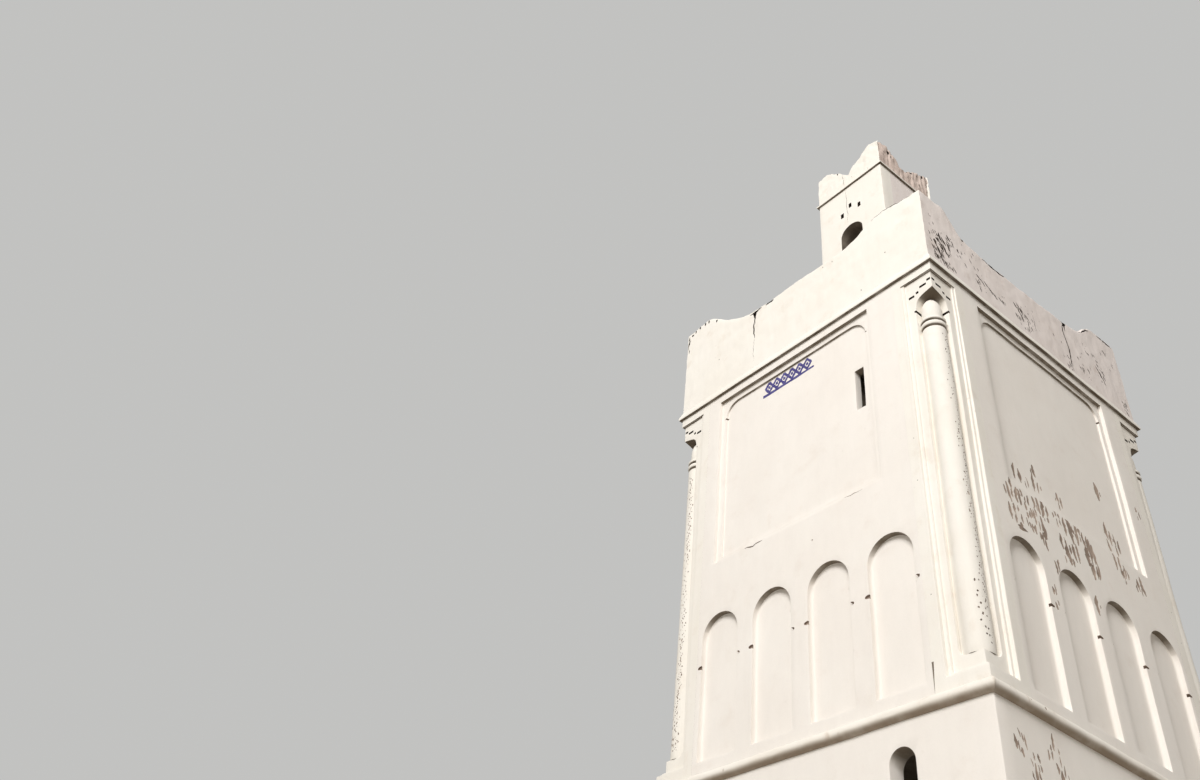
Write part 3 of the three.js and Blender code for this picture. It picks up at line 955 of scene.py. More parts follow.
@dataclass
class LowerShaft:
    """The plain lower walls, with a small window front and back and a doorway at the back."""

    levels: Levels
    finishes: Finishes
    wall: float = 0.6
    window_x: float = 1.215
    window_half: float = 0.15
    window_foot: float = 5.15
    window_spring: float = 5.74
    splay: float = 1.7
    splay_rise: Point = (-0.1, 0.12)
    reveal: float = 0.2
    door_half: float = 0.45
    door_spring: float = 1.85
    door_arch: float = 0.4
    arris: float = 0.014
    cell: float = 0.16

    def finish_wall(self, form: Form, quarters: int, name: str, damage: Damage) -> None:
        """Rounds, divides, wanders and wears one wall.

        Args:
            form: the wall in the front frame.
            quarters: its side.
            name: its node.
            damage: its worn places.
        """
        top = self.levels.course_foot - JOINT
        inner = self.levels.half - self.wall

        def hidden(a: Vector, b: Vector) -> bool:
            """Edges on the joints, the ground and the inside stay sharp."""
            on_inner = min(a.y, b.y) > -inner - 2 * NEAR
            flat = all(v.z < NEAR or v.z > top - NEAR for v in (a, b)) and abs(a.z - b.z) < NEAR
            upright = abs(a.x - b.x) < 1e-4 and a.z != b.z
            on_joint = min(abs(abs(a.x) - e) for e in (inner - JOINT, self.door_half)) < NEAR
            in_doorway = abs(a.x) < self.door_half + 0.01 and max(a.z, b.z) < self.door_spring + 0.01
            return on_inner or flat or (upright and on_joint and not in_doorway)

        form.cut(damage.cutters, True).soften(self.arris, hidden).divide(self.cell)
        form.line(lambda p: p.y > -inner - 0.02)
        form.move(turned(quarters)).stray(STRAY)
        coats = [self.finishes.pale, self.finishes.bare, self.finishes.inside]
        form.piece(f"{name}_limewashed", [name], "pale_limewash", coats)

    def light(self, outline: Sequence[Point]) -> list[Form]:
        """The cutters of a small window that widens behind its outer reveal.

        Args:
            outline: the window's outline.

        Returns:
            The cutters.
        """
        half, inner = self.levels.half, self.levels.half - self.wall
        middle, low = self.window_x, self.window_foot + 0.1
        wide = [(middle + (x - middle) * self.splay, z + self.splay_rise[z > low]) for x, z in outline]
        # The splay takes the inside's dark coat: painted shade inside the window.
        splay = Form.prism(wide, -half + self.reveal, -inner + CLEAR / 2, Coat.INSIDE)
        return [Form.prism(outline, -half - CLEAR, -inner + CLEAR), splay]

    def build(self) -> None:
        """Builds the four sides."""
        half, inner, reach = self.levels.half, self.levels.half - self.wall, self.door_half - JOINT
        depth, height = (-half, -inner), (0.0, self.levels.course_foot - JOINT)
        outline = arch(self.window_x, self.window_half, self.window_foot, self.window_spring)
        front = Form.block((-half, half), depth, height)
        front.cut(self.light(outline), True)
        wear = Damage(11, half)
        wear.scatter(7, (-2.1, 0.9), (1.6, 5.9), (0.006, 0.014))
        for _ in range(3):
            wear.peeled(wear.random.uniform(-1.6, 1.6), wear.random.uniform(0.3, 0.9), 0.5, 0.25, 11, 0.03)
        end = Damage(17, half)
        for x, z, w, h, n in ((-1.95, 5.78, 0.09, 0.1, 7), (-1.76, 5.62, 0.1, 0.13, 9)):
            end.peeled(x, z, w, h, n, 0.05, 0.2)
        wear.cutters += end.forms(turned(1))
        self.finish_wall(front, 0, "lower_wall_front", wear)
        for quarters in (1, 3):
            side = Form.block((-inner + JOINT, inner - JOINT), depth, height)
            wear = Damage(12 + quarters, half)
            for x, z, w, h, n in (
                    (-1.42, 5.8, 0.13, 0.2, 9), (-1.3, 5.6, 0.1, 0.12, 6), (0.2, 5.3, 0.1, 0.15, 7)):
                wear.peeled(x, z, w, h, n, 0.045)
            for low, high in ((0.3, 0.8), (0.9, 2.4), (2.8, 4.8)):
                x, z = wear.random.uniform(-1.0, 1.0), wear.random.uniform(low, high)
                wear.peeled(x, z, 0.55, 0.4, 13, 0.03)
            wear.scatter(6, (-1.4, 1.5), (0.3, 5.9), (0.006, 0.014))
            self.finish_wall(side, quarters, f"lower_wall_{SIDES[quarters]}", wear)
        for seed, side, ends, lows in (
                (21, "left", (self.door_half, half), (0.4, 2.4)),
                (22, "right", (-half, -self.door_half), (0.5, 3.2))):
            jamb = Form.block(ends, depth, height)
            left = side == "left"
            if left:
                jamb.cut(self.light(outline), True)
            wear = Damage(seed, half)
            for low in lows:
                x = wear.random.uniform(1.1, 1.6) if left else wear.random.uniform(-1.6, -1.1)
                wear.peeled(x, low + wear.random.uniform(0.0, 0.8), 0.5, 0.4, 12, 0.03)
            self.finish_wall(jamb, 2, f"door_jamb_wall_{side}", wear)
        head = Form.block((-reach, reach), depth, (self.door_spring, height[1]))
        round_head = arch(0.0, self.door_arch, self.door_spring - CLEAR, self.door_spring)
        head.cut([Form.prism(round_head, -half - CLEAR, -inner + CLEAR)])
        self.finish_wall(head, 2, "door_head_wall", Damage(23, half))


@dataclass
class StringCourse:
    """The half-round course between the two shafts, with a worn, lumpy skin."""

    levels: Levels
    finishes: Finishes
    reach: float = 0.07
    wall: float = 0.6
    step: float = 0.045

    def section(self, _: float) -> list[Point]:
        """The closed section: a half round on the wall's face.

        Args:
            _: the place along the side, which doesn't matter here.

        Returns:
            Its points as distance out and height.
        """
        half, foot = self.levels.half, self.levels.course_foot
        top = foot + self.levels.course_height - JOINT
        middle, rise = (foot + top) / 2, (top - foot) / 2
        bow = [-QUARTER + math.pi * i / 16 for i in range(17)]
        points = [(half - self.wall, foot), (half - self.wall / 2, foot)]
        points += [(half + self.reach * math.cos(a), middle + rise * math.sin(a)) for a in bow]
        return points + [(half - self.wall / 2, top), (half - self.wall, top)]

    def build(self) -> None:
        """Builds the four lengths."""
        half = self.levels.half
        middle = self.levels.course_foot + self.levels.course_height / 2

        def lumps(p: Vector) -> Vector:
            """Lumps of the half round, none on its bearing faces."""
            out = max(abs(p.x), abs(p.y))
            if out < half + 0.01:
                return Vector((0.0, 0.0, 0.0))
            share = min((out - half) / self.reach, 1.0)
            swell = noise.noise(p * 2.7) * 0.007 + noise.noise(p * 8.0) * 0.003 - 0.003
            away = Vector((p.x if abs(p.x) >= abs(p.y) else 0.0, p.y if abs(p.y) > abs(p.x) else 0.0, 0.0))
            return away.normalized() * swell * share + Vector((0, 0, (p.z - middle) * swell * 3))

        for quarters, side in enumerate(SIDES):
            form = mitred_run(half, 1.55, spaced(-half, half, self.step), self.section)
            form.move(turned(quarters)).stray(COURSE_STRAY, lumps)
            wear = Damage(31 + quarters, half + self.reach)
            for _ in range(7 if quarters else 3):
                x, z = wear.random.uniform(-2.1, 2.1), middle + wear.random.uniform(0.02, 0.06)
                wear.pit(x, z, wear.random.uniform(0.008, 0.022), 0.012)
            form.cut(wear.forms(turned(quarters)), True)
            name = f"string_course_{side}"
            coats = [self.finishes.moulded, self.finishes.bare]
            form.piece(f"{name}_moulded", [name], "weathered_limewash", coats)


@dataclass
class UpperShaft:
    """Four faces with blind arches and a sunk panel, four piers with niches, and four round columns."""

    levels: Levels
    finishes: Finishes
    wall: float = 0.6
    pier: float = 0.6
    arch_count: int = 4
    arch_pitch: float = 0.85
    arch_half: float = 0.3
    arch_depth: float = 0.068
    arch_cove: float = 0.032
    arch_apex_drop: float = 3.445
    notch_drop: float = 4.085
    panel_half: float = 1.34
    panel_height: float = 2.7
    panel_depth: float = 0.047
    panel_step: float = 0.085
    panel_step_depth: float = 0.028
    panel_round: float = 0.235
    panel_notch: Triple = (0.044, 0.028, 0.12)
    slit_x: float = 1.0
    slit_half: float = 0.07
    slit_drop: Point = (1.475, 0.84)
    slit_reveal: float = 0.18
    slit_splay: float = 0.1
    front_panel_x: float = -0.09
    frame_width: float = 0.46
    frame_foot: float = 6.413
    frame_depth: Point = (0.045, 0.015)
    frame_step: float = 0.038
    frame_sunk: Point = (0.075, 0.034)
    niche_side: float = 0.35
    niche_ease: float = 0.08
    niche_foot: float = 6.6
    niche_spring_drop: float = 0.53
    niche_apex_drop: float = 0.262
    niche_head: float = 0.308
    niche_tip: float = 0.04
    niche_notch: Triple = (0.018, 0.034, 0.16)
    slots: tuple[Triple, ...] = (
        (0.045, 0.1, 0.112), (0.115, 0.215, 0.158), (0.235, 0.275, 0.222), (0.3, 0.385, 0.25))
    column_radius: float = 0.154
    shaft_radius: float = 0.139
    column_inset: float = 0.201
    column_sides: int = 72
    speck_count: int = 250
    speck_foot: float = 6.7
    speck_pitch: float = 0.016
    peel_size: float = 0.062
    peel_spread: float = 1.1
    stroke_spread: float = 1.5
    peeling: tuple[tuple[float, float, float, float, int], ...] = (
        (-1.32, 2.88, 0.14, 0.12, 9), (-1.05, 2.86, 0.16, 0.16, 16), (-0.98, 3.12, 0.16, 0.16, 14),
        (-1.3, 3.18, 0.12, 0.12, 6), (-0.78, 2.84, 0.12, 0.12, 10), (-0.82, 3.22, 0.06, 0.14, 6),
        (-0.5, 2.8, 0.08, 0.1, 7), (-0.28, 2.82, 0.1, 0.12, 8), (-0.1, 2.8, 0.1, 0.08, 5),
        (-0.42, 3.2, 0.1, 0.18, 8), (-0.25, 3.16, 0.06, 0.16, 6), (0.05, 3.02, 0.07, 0.28, 8),
        (0.17, 3.05, 0.04, 0.24, 4), (0.78, 2.92, 0.07, 0.12, 6), (0.95, 2.95, 0.1, 0.08, 4),
        (1.12, 2.93, 0.08, 0.1, 6), (0.66, 2.79, 0.06, 0.04, 3), (-0.7, 3.52, 0.04, 0.1, 4),
        (-0.85, 3.95, 0.05, 0.12, 4), (0.0, 3.7, 0.03, 0.1, 3), (1.56, 1.68, 0.05, 0.12, 3),
        (-0.68, 2.2, 0.04, 0.05, 2), (-0.66, 2.4, 0.1, 0.04, 4), (-0.98, 2.44, 0.14, 0.08, 5),
        (-0.22, 2.4, 0.06, 0.08, 4), (0.76, 1.72, 0.07, 0.07, 4), (0.76, 2.4, 0.07, 0.14, 8),
        (0.92, 2.4, 0.06, 0.12, 4))
    strokes: tuple[tuple[float, ...], ...] = (
        (0.07, 2.86, 0.04, 0.24), (0.02, 3.04, 0.07, 0.26), (0.07, 3.22, 0.055, 0.2),
        (0.15, 2.97, 0.025, 0.22), (0.18, 3.17, 0.035, 0.2), (-0.41, 3.2, 0.06, 0.2), (-0.39, 3.3, 0.04, 0.1),
        (-0.26, 3.14, 0.03, 0.18), (-1.29, 3.31, 0.11, 0.06), (-1.02, 2.99, 0.035, 0.12),
        (-0.83, 3.18, 0.05, 0.12), (0.77, 2.92, 0.04, 0.14), (1.15, 2.94, 0.035, 0.12))
    specks: tuple[Point, ...] = (
        (4.3, 0.1), (4.47, 0.12), (4.6, 0.1), (4.66, 0.35), (4.73, 0.15), (4.8, 0.4), (4.81, 0.6),
        (4.87, 0.4), (4.88, 0.62), (4.95, 0.65), (4.42, 0.2), (4.55, 0.3))
    arris: float = 0.008
    pier_arris: float = 0.007
    cell: float = 0.11

    def blind_arch(self, x: float) -> Form:
        """The cutter of one blind arch, coved towards its back.

        Args:
            x: its middle.

        Returns:
            The cutter.
        """
        half = self.levels.half
        spring = self.levels.frame_top - self.arch_apex_drop - self.arch_half
        rings = []
        for depth in (-CLEAR, 0.0, *(self.arch_depth * math.sin(QUARTER * i / 7) for i in range(1, 8))):
            cove = self.arch_cove * (1 - max(0.0, 1 - (max(depth, 0.0) / self.arch_depth) ** 4) ** 0.4)
            ring = []
            for a, b in arch(x, self.arch_half, self.frame_foot, spring, 20):
                away = Vector((a - x, max(b - spring, 0.0))).normalized()
                reach = cove * (0.15 + 0.85 * away.x ** 8)
                rise = cove * 0.2 * (b < spring)
                ring.append(Vector((a - away.x * reach, -half + depth, b - away.y * reach + rise)))
            rings.append(ring)
        return Form.rings(rings)

    def pocket(self, x: float, z: float, size: Triple) -> Form:
        """The cutter of a small pocket, round at its ends.

        Args:
            x: its middle.
            z: its middle.
            size: width, height and depth.

        Returns:
            The cutter.
        """
        width, height, depth = size
        half = self.levels.half
        lens = []
        for i in range(12):
            across, rise = math.cos(math.tau * i / 12), math.sin(math.tau * i / 12)
            lens.append((x + width / 2 * across, z + height / 2 * math.copysign(abs(rise) ** 0.8, rise)))
        return Form.prism(lens, -half - CLEAR, -half + depth, Coat.BARE_AND_SHADE)

    def panel(self, x: float) -> list[Form]:
        """The cutters of the sunk panel and its round-cornered inner step.

        Args:
            x: its middle.

        Returns:
            The cutters.
        """
        half, top = self.levels.half, self.levels.frame_top
        foot = top - self.panel_height
        reach = self.panel_half
        outer = Form.block((x - reach, x + reach), (-half - CLEAR, -half + self.panel_depth), (foot, top))
        reach, head, base = reach - self.panel_step, top - self.panel_step, foot + self.panel_step
        r = self.panel_round
        quarter = [QUARTER * i / 12 for i in range(13)]
        outline = [(x - reach, base), (x + reach, base)]
        outline += [(x + reach - r + r * math.cos(a), head - r + r * math.sin(a)) for a in quarter]
        outline += [(x - reach + r - r * math.sin(a), head - r + r * math.cos(a)) for a in quarter]
        inner = Form.prism(outline, -half - CLEAR, -half + self.panel_depth + self.panel_step_depth)
        z = head - r
        return [outer, inner, *(self.pocket(at, z, self.panel_notch) for at in (x - reach, x + reach))]

    def face(self, quarters: int) -> None:
        """Builds one face between two piers.

        Args:
            quarters: its side.
        """
        half, top = self.levels.half, self.levels.frame_top
        reach = half - self.pier - JOINT
        low, high = self.levels.upper_foot, self.levels.upper_top
        form = Form.block((-reach, reach), (-half, -half + self.wall), (low, high))
        cutters = self.panel(0.0 if quarters else self.front_panel_x)
        soft, dark = (0.036, 0.03, 0.05), (0.125, 0.036, 0.03)
        if quarters % 2 == 0:
            soft, dark = (0.115, 0.048, 0.02), (0.105, 0.05, 0.1)
        for i in range(self.arch_count):
            x = (i - (self.arch_count - 1) / 2) * self.arch_pitch
            cutters.append(self.blind_arch(x))
            for side, notch in ((-1, soft), (1, dark)):
                cutters.append(self.pocket(x + side * self.arch_half, top - self.notch_drop, notch))
        if quarters % 2 == 0:
            foot, head = top - self.slit_drop[0], top - self.slit_drop[1]
            # The slit's splay takes the inside's dark coat: painted shade inside it.
            for wide, near, coat in (
                    (0.0, -half - CLEAR, Coat.LIMEWASH),
                    (self.slit_splay, -half + self.slit_reveal, Coat.INSIDE)):
                left, right = self.slit_x - self.slit_half - wide, self.slit_x + self.slit_half + wide
                base, tip = foot - wide, head + wide
                outline = [(left, base), (right, base), (right, tip), (left, tip)]
                cutters.append(Form.prism(outline, near, -half + self.wall + CLEAR - wide / 10, coat))
        form.cut(cutters, True)
        form.cut(self.face_wear(quarters).cutters, True)
        hidden = at_both(
            lambda p: abs(p.x) > reach - NEAR, lambda p: p.y > -half + self.wall - NEAR,
            lambda p: p.z < low + NEAR, lambda p: p.z > high - NEAR)
        form.soften(self.arris, hidden).divide(self.cell).line(lambda p: p.y > -half + self.wall - 0.02)
        form.move(turned(quarters)).stray(STRAY)
        name = f"upper_wall_{SIDES[quarters]}"
        coats = [self.finishes.pale, self.finishes.bare, self.finishes.inside]
        form.piece(f"{name}_limewashed", [name], "pale_limewash", coats)

    def face_wear(self, quarters: int) -> Damage:
        """The worn places of one face.

        Args:
            quarters: its side.

        Returns:
            The damage.
        """
        top, half = self.levels.frame_top, self.levels.half
        wear = Damage(41 + quarters, half)
        if quarters == 0:
            for x, drop in ((-1.3, 0.18), (1.19, 0.36), (1.12, 0.8), (0.88, 1.5)):
                wear.pit(x, top - drop, 0.012, 0.02)
            wear.crack([(-0.88, top - 2.712), (-0.74, top - 2.722), (-0.58, top - 2.716)], 0.018, 0.02)
            wear.crack([(0.72, top - 2.71), (0.86, top - 2.716), (0.98, top - 2.708)], 0.007, 0.01)
            wear.pit(0.22, top - 3.06, 0.012, 0.012)
            return wear
        sunk = self.panel_depth + self.panel_step_depth
        for x, drop, wide, tall, count in self.peeling:
            if quarters > 1:
                x, count = -x + wear.random.uniform(-0.2, 0.2), count // 2
            inner = drop < self.panel_height - self.panel_step - tall and abs(x) < self.panel_half
            wear.out = half - sunk if inner else half
            wear.peeled(x, top - drop, wide * self.peel_spread, tall, count, self.peel_size)
        wear.out = half
        for x, drop, wide, tall in self.strokes if quarters == 1 else ():
            wear.flake(x, top - drop, wide * self.stroke_spread, tall, 0.006, wear.random.uniform(-0.1, 0.1))
        return wear

    def niche(self) -> Form:
        """The cutter of the niche: a square notch that narrows and closes to a point at the corner.

        Returns:
            The cutter.
        """
        half, top, r = self.levels.half, self.levels.frame_top, self.niche_ease
        spring, apex = top - self.niche_spring_drop, top - self.niche_apex_drop
        sides = [(self.niche_foot + r - r * math.cos(a), self.niche_side - r + r * math.sin(a))
                 for a in (QUARTER * i / 5 for i in range(6))]
        for i in range(15):
            left = 1 - math.sin(QUARTER * i / 14)
            share = math.tanh(5.2 * left) * (0.84 + 0.16 * left)
            side = self.niche_tip + (self.niche_head - self.niche_tip) * share
            sides.append((apex + (spring - apex) * left, side))
        out = half + CLEAR
        rings = []
        for z, s in sides:
            plan = ((half - s, -out), (out, -out), (out, s - half), (half - s, s - half))
            rings.append([Vector((x, y, z)) for x, y in plan])
        return Form.rings(rings)

    def folded(
        self, near: float, far: float, depth: Point, low: float, high: float, coat: Coat = Coat.LIMEWASH
    ) -> list[Form]:
        """Cutters for a box sunk into both faces of the corner.

        Args:
            near: its near end, from the corner.
            far: its far end, from the corner.
            depth: its depth at the foot and at the top.
            low: its foot.
            high: its top.
            coat: the finish that it leaves.

        Returns:
            The cutters.
        """
        half = self.levels.half
        rings = []
        for deep, z in zip(depth, (low, high)):
            outer, back = -half - CLEAR, -half + deep
            plan = ((half - far, outer), (half - near, outer), (half - near, back), (half - far, back))
            rings.append([Vector((x, y, z)) for x, y in plan])
        mirrored = [[Vector((-p.y, -p.x, p.z)) for p in ring] for ring in rings]
        return [Form.rings(rings, coat), Form.rings(mirrored, coat)]

    def corner(self, quarters: int) -> None:
        """Builds one pier.

        Args:
            quarters: its corner.
        """
        half, top = self.levels.half, self.levels.frame_top
        foot, head, inner = self.levels.upper_foot, self.levels.upper_top, half - self.pier
        form = Form.block((inner + JOINT, half), (-half, -inner - JOINT), (foot, head))
        width, step = self.frame_width, self.frame_step
        notch_width, notch_height, notch_depth = self.niche_notch
        spring, notch_depth = top - self.niche_spring_drop, 0.02 + notch_depth
        sunk = [(-CLEAR, width, self.frame_depth, self.frame_foot, top, Coat.LIMEWASH),
                (-CLEAR, width - step, self.frame_sunk, self.frame_foot + step, top - 0.006, Coat.LIMEWASH)]
        sunk += [(near, far, (0.1, 0.1), top - drop - 0.018, top - drop + 0.018, Coat.BARE_AND_SHADE)
                 for near, far, drop in self.slots]
        sunk.append((0.06, self.niche_head + notch_width, (notch_depth, notch_depth), spring,
                     spring + notch_height, Coat.BARE_AND_SHADE))
        for box in sunk:
            form.cut(self.folded(*box), True)
        form.cut([self.niche()])
        wear = Damage(61 + quarters, half)
        for _ in range(3):
            wear.pit(wear.random.uniform(1.7, 1.77), wear.random.uniform(6.7, 11.3), 0.006, 0.006)
        form.cut(wear.cutters, True)
        hidden = at_both(
            lambda p: p.z < foot + NEAR, lambda p: p.z > head - NEAR,
            lambda p: p.x < inner + 2 * NEAR, lambda p: p.y > -inner - 2 * NEAR)
        form.soften(self.pier_arris, hidden).divide(self.cell)
        form.line(lambda p: p.x < inner + 0.01 or p.y > -inner - 0.01)
        form.move(turned(quarters)).stray(STRAY)
        name = f"corner_pier_{CORNERS[quarters]}"
        # Its second coat is almost black: painted shade in the slots, the notch under the niche's head and
        # the pits.
        coats = [self.finishes.ivory, self.finishes.pitted_and_shaded, self.finishes.inside]
        form.piece(f"{name}_limewashed", [name], "ivory_limewash", coats)

    def column_profile(self) -> list[Point]:
        """The column's half outline: foot, shaft, two soft neck rings and a domed head.

        Returns:
            Radius and height from foot to top.
        """
        top, r, shaft = self.levels.frame_top, self.column_radius, self.shaft_radius
        foot = self.niche_foot + JOINT
        profile = [(shaft - 0.004, foot), (shaft, foot + 0.012)]
        low = top - 0.812
        groove = shaft - 0.03
        profile += [(shaft, foot + 0.012 + (low - 0.03 - foot - 0.012) * i / 60) for i in range(1, 61)]
        for ring_foot, ring_top in ((low, top - 0.742), (top - 0.72, top - 0.67)):
            middle, rise = (ring_foot + ring_top) / 2, (ring_top - ring_foot) / 2
            profile += [(groove + 0.006, ring_foot - 0.02), (groove, ring_foot - 0.014),
                        (groove, ring_foot - NEAR)]
            for i in range(9):
                a = -QUARTER + math.pi * i / 8
                bulge = abs(math.cos(a)) ** 0.5
                profile.append((groove + (r - groove) * bulge, middle + rise * math.sin(a)))
        head_foot, shoulder, head_top, head = top - 0.657, top - 0.52, top - 0.3, 0.12
        profile += [(groove, head_foot - 0.008), (head - 0.006, head_foot + 0.001), (head, head_foot + 0.012),
                    (head, shoulder)]
        for i in range(1, 12):
            a = QUARTER * i / 12
            profile.append((head * math.cos(a), shoulder + (head_top - shoulder) * math.sin(a)))
        return profile

    def filleted(self, angle: float, radius: float) -> float:
        """The shaft's reach where lime has built up between it and the niche's two sides.

        Args:
            angle: the direction from the column's middle.
            radius: the plain shaft's radius.

        Returns:
            The reach.
        """
        corner, inward, edge, end = (math.radians(a) for a in (315, 135, 106, 76))
        aside = abs((angle - corner + math.pi) % math.tau - math.pi)
        side = self.niche_side - self.column_inset - NEAR
        if aside >= edge:
            return radius if aside > inward else side / math.cos(inward - aside)
        if aside <= end:
            return radius
        return radius + (side / math.cos(inward - edge) - radius) * ((aside - end) / (edge - end)) ** 2

    def speck(self, wear: Damage, z: float, aside: float, size: float) -> None:
        """A pit in the column's skin.

        Args:
            wear: the damage that it joins.
            z: its height.
            aside: its direction, from the corner's diagonal to the right-hand side, in radians.
            size: half its width.
        """
        middle = self.levels.half - self.column_inset
        angle = -math.pi / 4 + aside
        reach = self.shaft_radius - 0.002
        wear.pit(middle + math.cos(angle) * reach, z, size, size, -middle + math.sin(angle) * reach)

    def column(self, quarters: int) -> None:
        """Builds one column.

        Args:
            quarters: its corner.
        """
        half = self.levels.half
        x, y = half - self.column_inset, -half + self.column_inset
        fillet_top = self.levels.frame_top - 0.89
        plan = [math.tau * i / self.column_sides for i in range(self.column_sides)]
        rings = []
        for radius, z in self.column_profile():
            ring = []
            for a in plan:
                reach = radius
                if radius >= self.shaft_radius - 0.005 and z < fillet_top:
                    reach = self.filleted(a, radius)
                p = Vector((math.cos(a) * reach, math.sin(a) * reach, z))
                place = Vector((math.cos(a), math.sin(a), z * 1.6)) + Vector((quarters * 5.0, 0, 0))
                sway = 1 + noise.noise(place) * 0.012
                p.x *= sway
                p.y *= sway
                ring.append(p + Vector((x, y, 0)))
            rings.append(ring)
        form = Form.rings(rings)
        form.move(turned(quarters)).stray(STRAY)
        wear = Damage(71 + quarters, half - self.column_inset + self.shaft_radius)
        for i in range(self.speck_count):
            aside = wear.random.triangular(0.3, 1.25, 0.95)
            z = self.speck_foot + i * self.speck_pitch
            self.speck(wear, z, aside, wear.random.uniform(0.005, 0.012))
        for drop, aside in self.specks:
            self.speck(wear, self.levels.frame_top - drop, aside, 0.014)
        form.cut(wear.forms(turned(quarters)), True)
        name = f"corner_column_{CORNERS[quarters]}"
        coats = [self.finishes.ivory, self.finishes.bare]
        form.piece(f"{name}_limewashed", [name], "ivory_limewash", coats, ROUGH_SHARP)

    def motif(self) -> None:
        """A painted band of plain lozenges on a line, under the front panel's head."""
        y = -(self.levels.half - self.panel_depth - self.panel_step_depth) - 0.0005
        rng = random.Random(5)
        form = Form()
        left, pitch, tall, stroke, count = -0.6, 0.138, 0.088, 0.038, 6
        middle = self.levels.frame_top - 0.205
        strokes: list[tuple[Point, Point]] = []
        for i in range(count):
            x = left + i * pitch
            for way in (1, -1):
                strokes.append(((x, middle), (x + pitch / 2, middle + tall * way)))
                strokes.append(((x + pitch / 2, middle + tall * way), (x + pitch, middle)))
            strokes.append(((x + pitch / 2, middle - 0.022), (x + pitch / 2, middle + 0.022)))
        foot = middle - tall - 0.03
        strokes.append(((left - 0.02, foot), (left + count * pitch + 0.02, foot + 0.006)))
        for (x0, z0), (x1, z1) in strokes:
            along = Vector((x1 - x0, z1 - z0)).normalized()
            across = Vector((-along.y, along.x)) * stroke / 2
            sides: tuple[list[Point], list[Point]] = ([], [])
            for i in range(7):
                t = -0.03 + 1.06 * i / 6
                wide = 1 + rng.uniform(-0.22, 0.22)
                for side, row in zip((-1, 1), sides):
                    row.append((x0 + (x1 - x0) * t + across.x * side * wide,
                                z0 + (z1 - z0) * t + across.y * side * wide))
            form.join(Form.prism(sides[0] + sides[1][::-1], y, y - 0.0015 - rng.uniform(0, 0.0004)))
        form.divide(0.11).stray(STRAY)
        form.piece("panel_motif_painted", [], "blue_paint", [self.finishes.blue])

    def build(self) -> None:
        """Builds the faces, piers, columns and the painted motif."""
        for quarters in range(4):
            self.face(quarters)
            self.corner(quarters)
            self.column(quarters)
        self.motif()


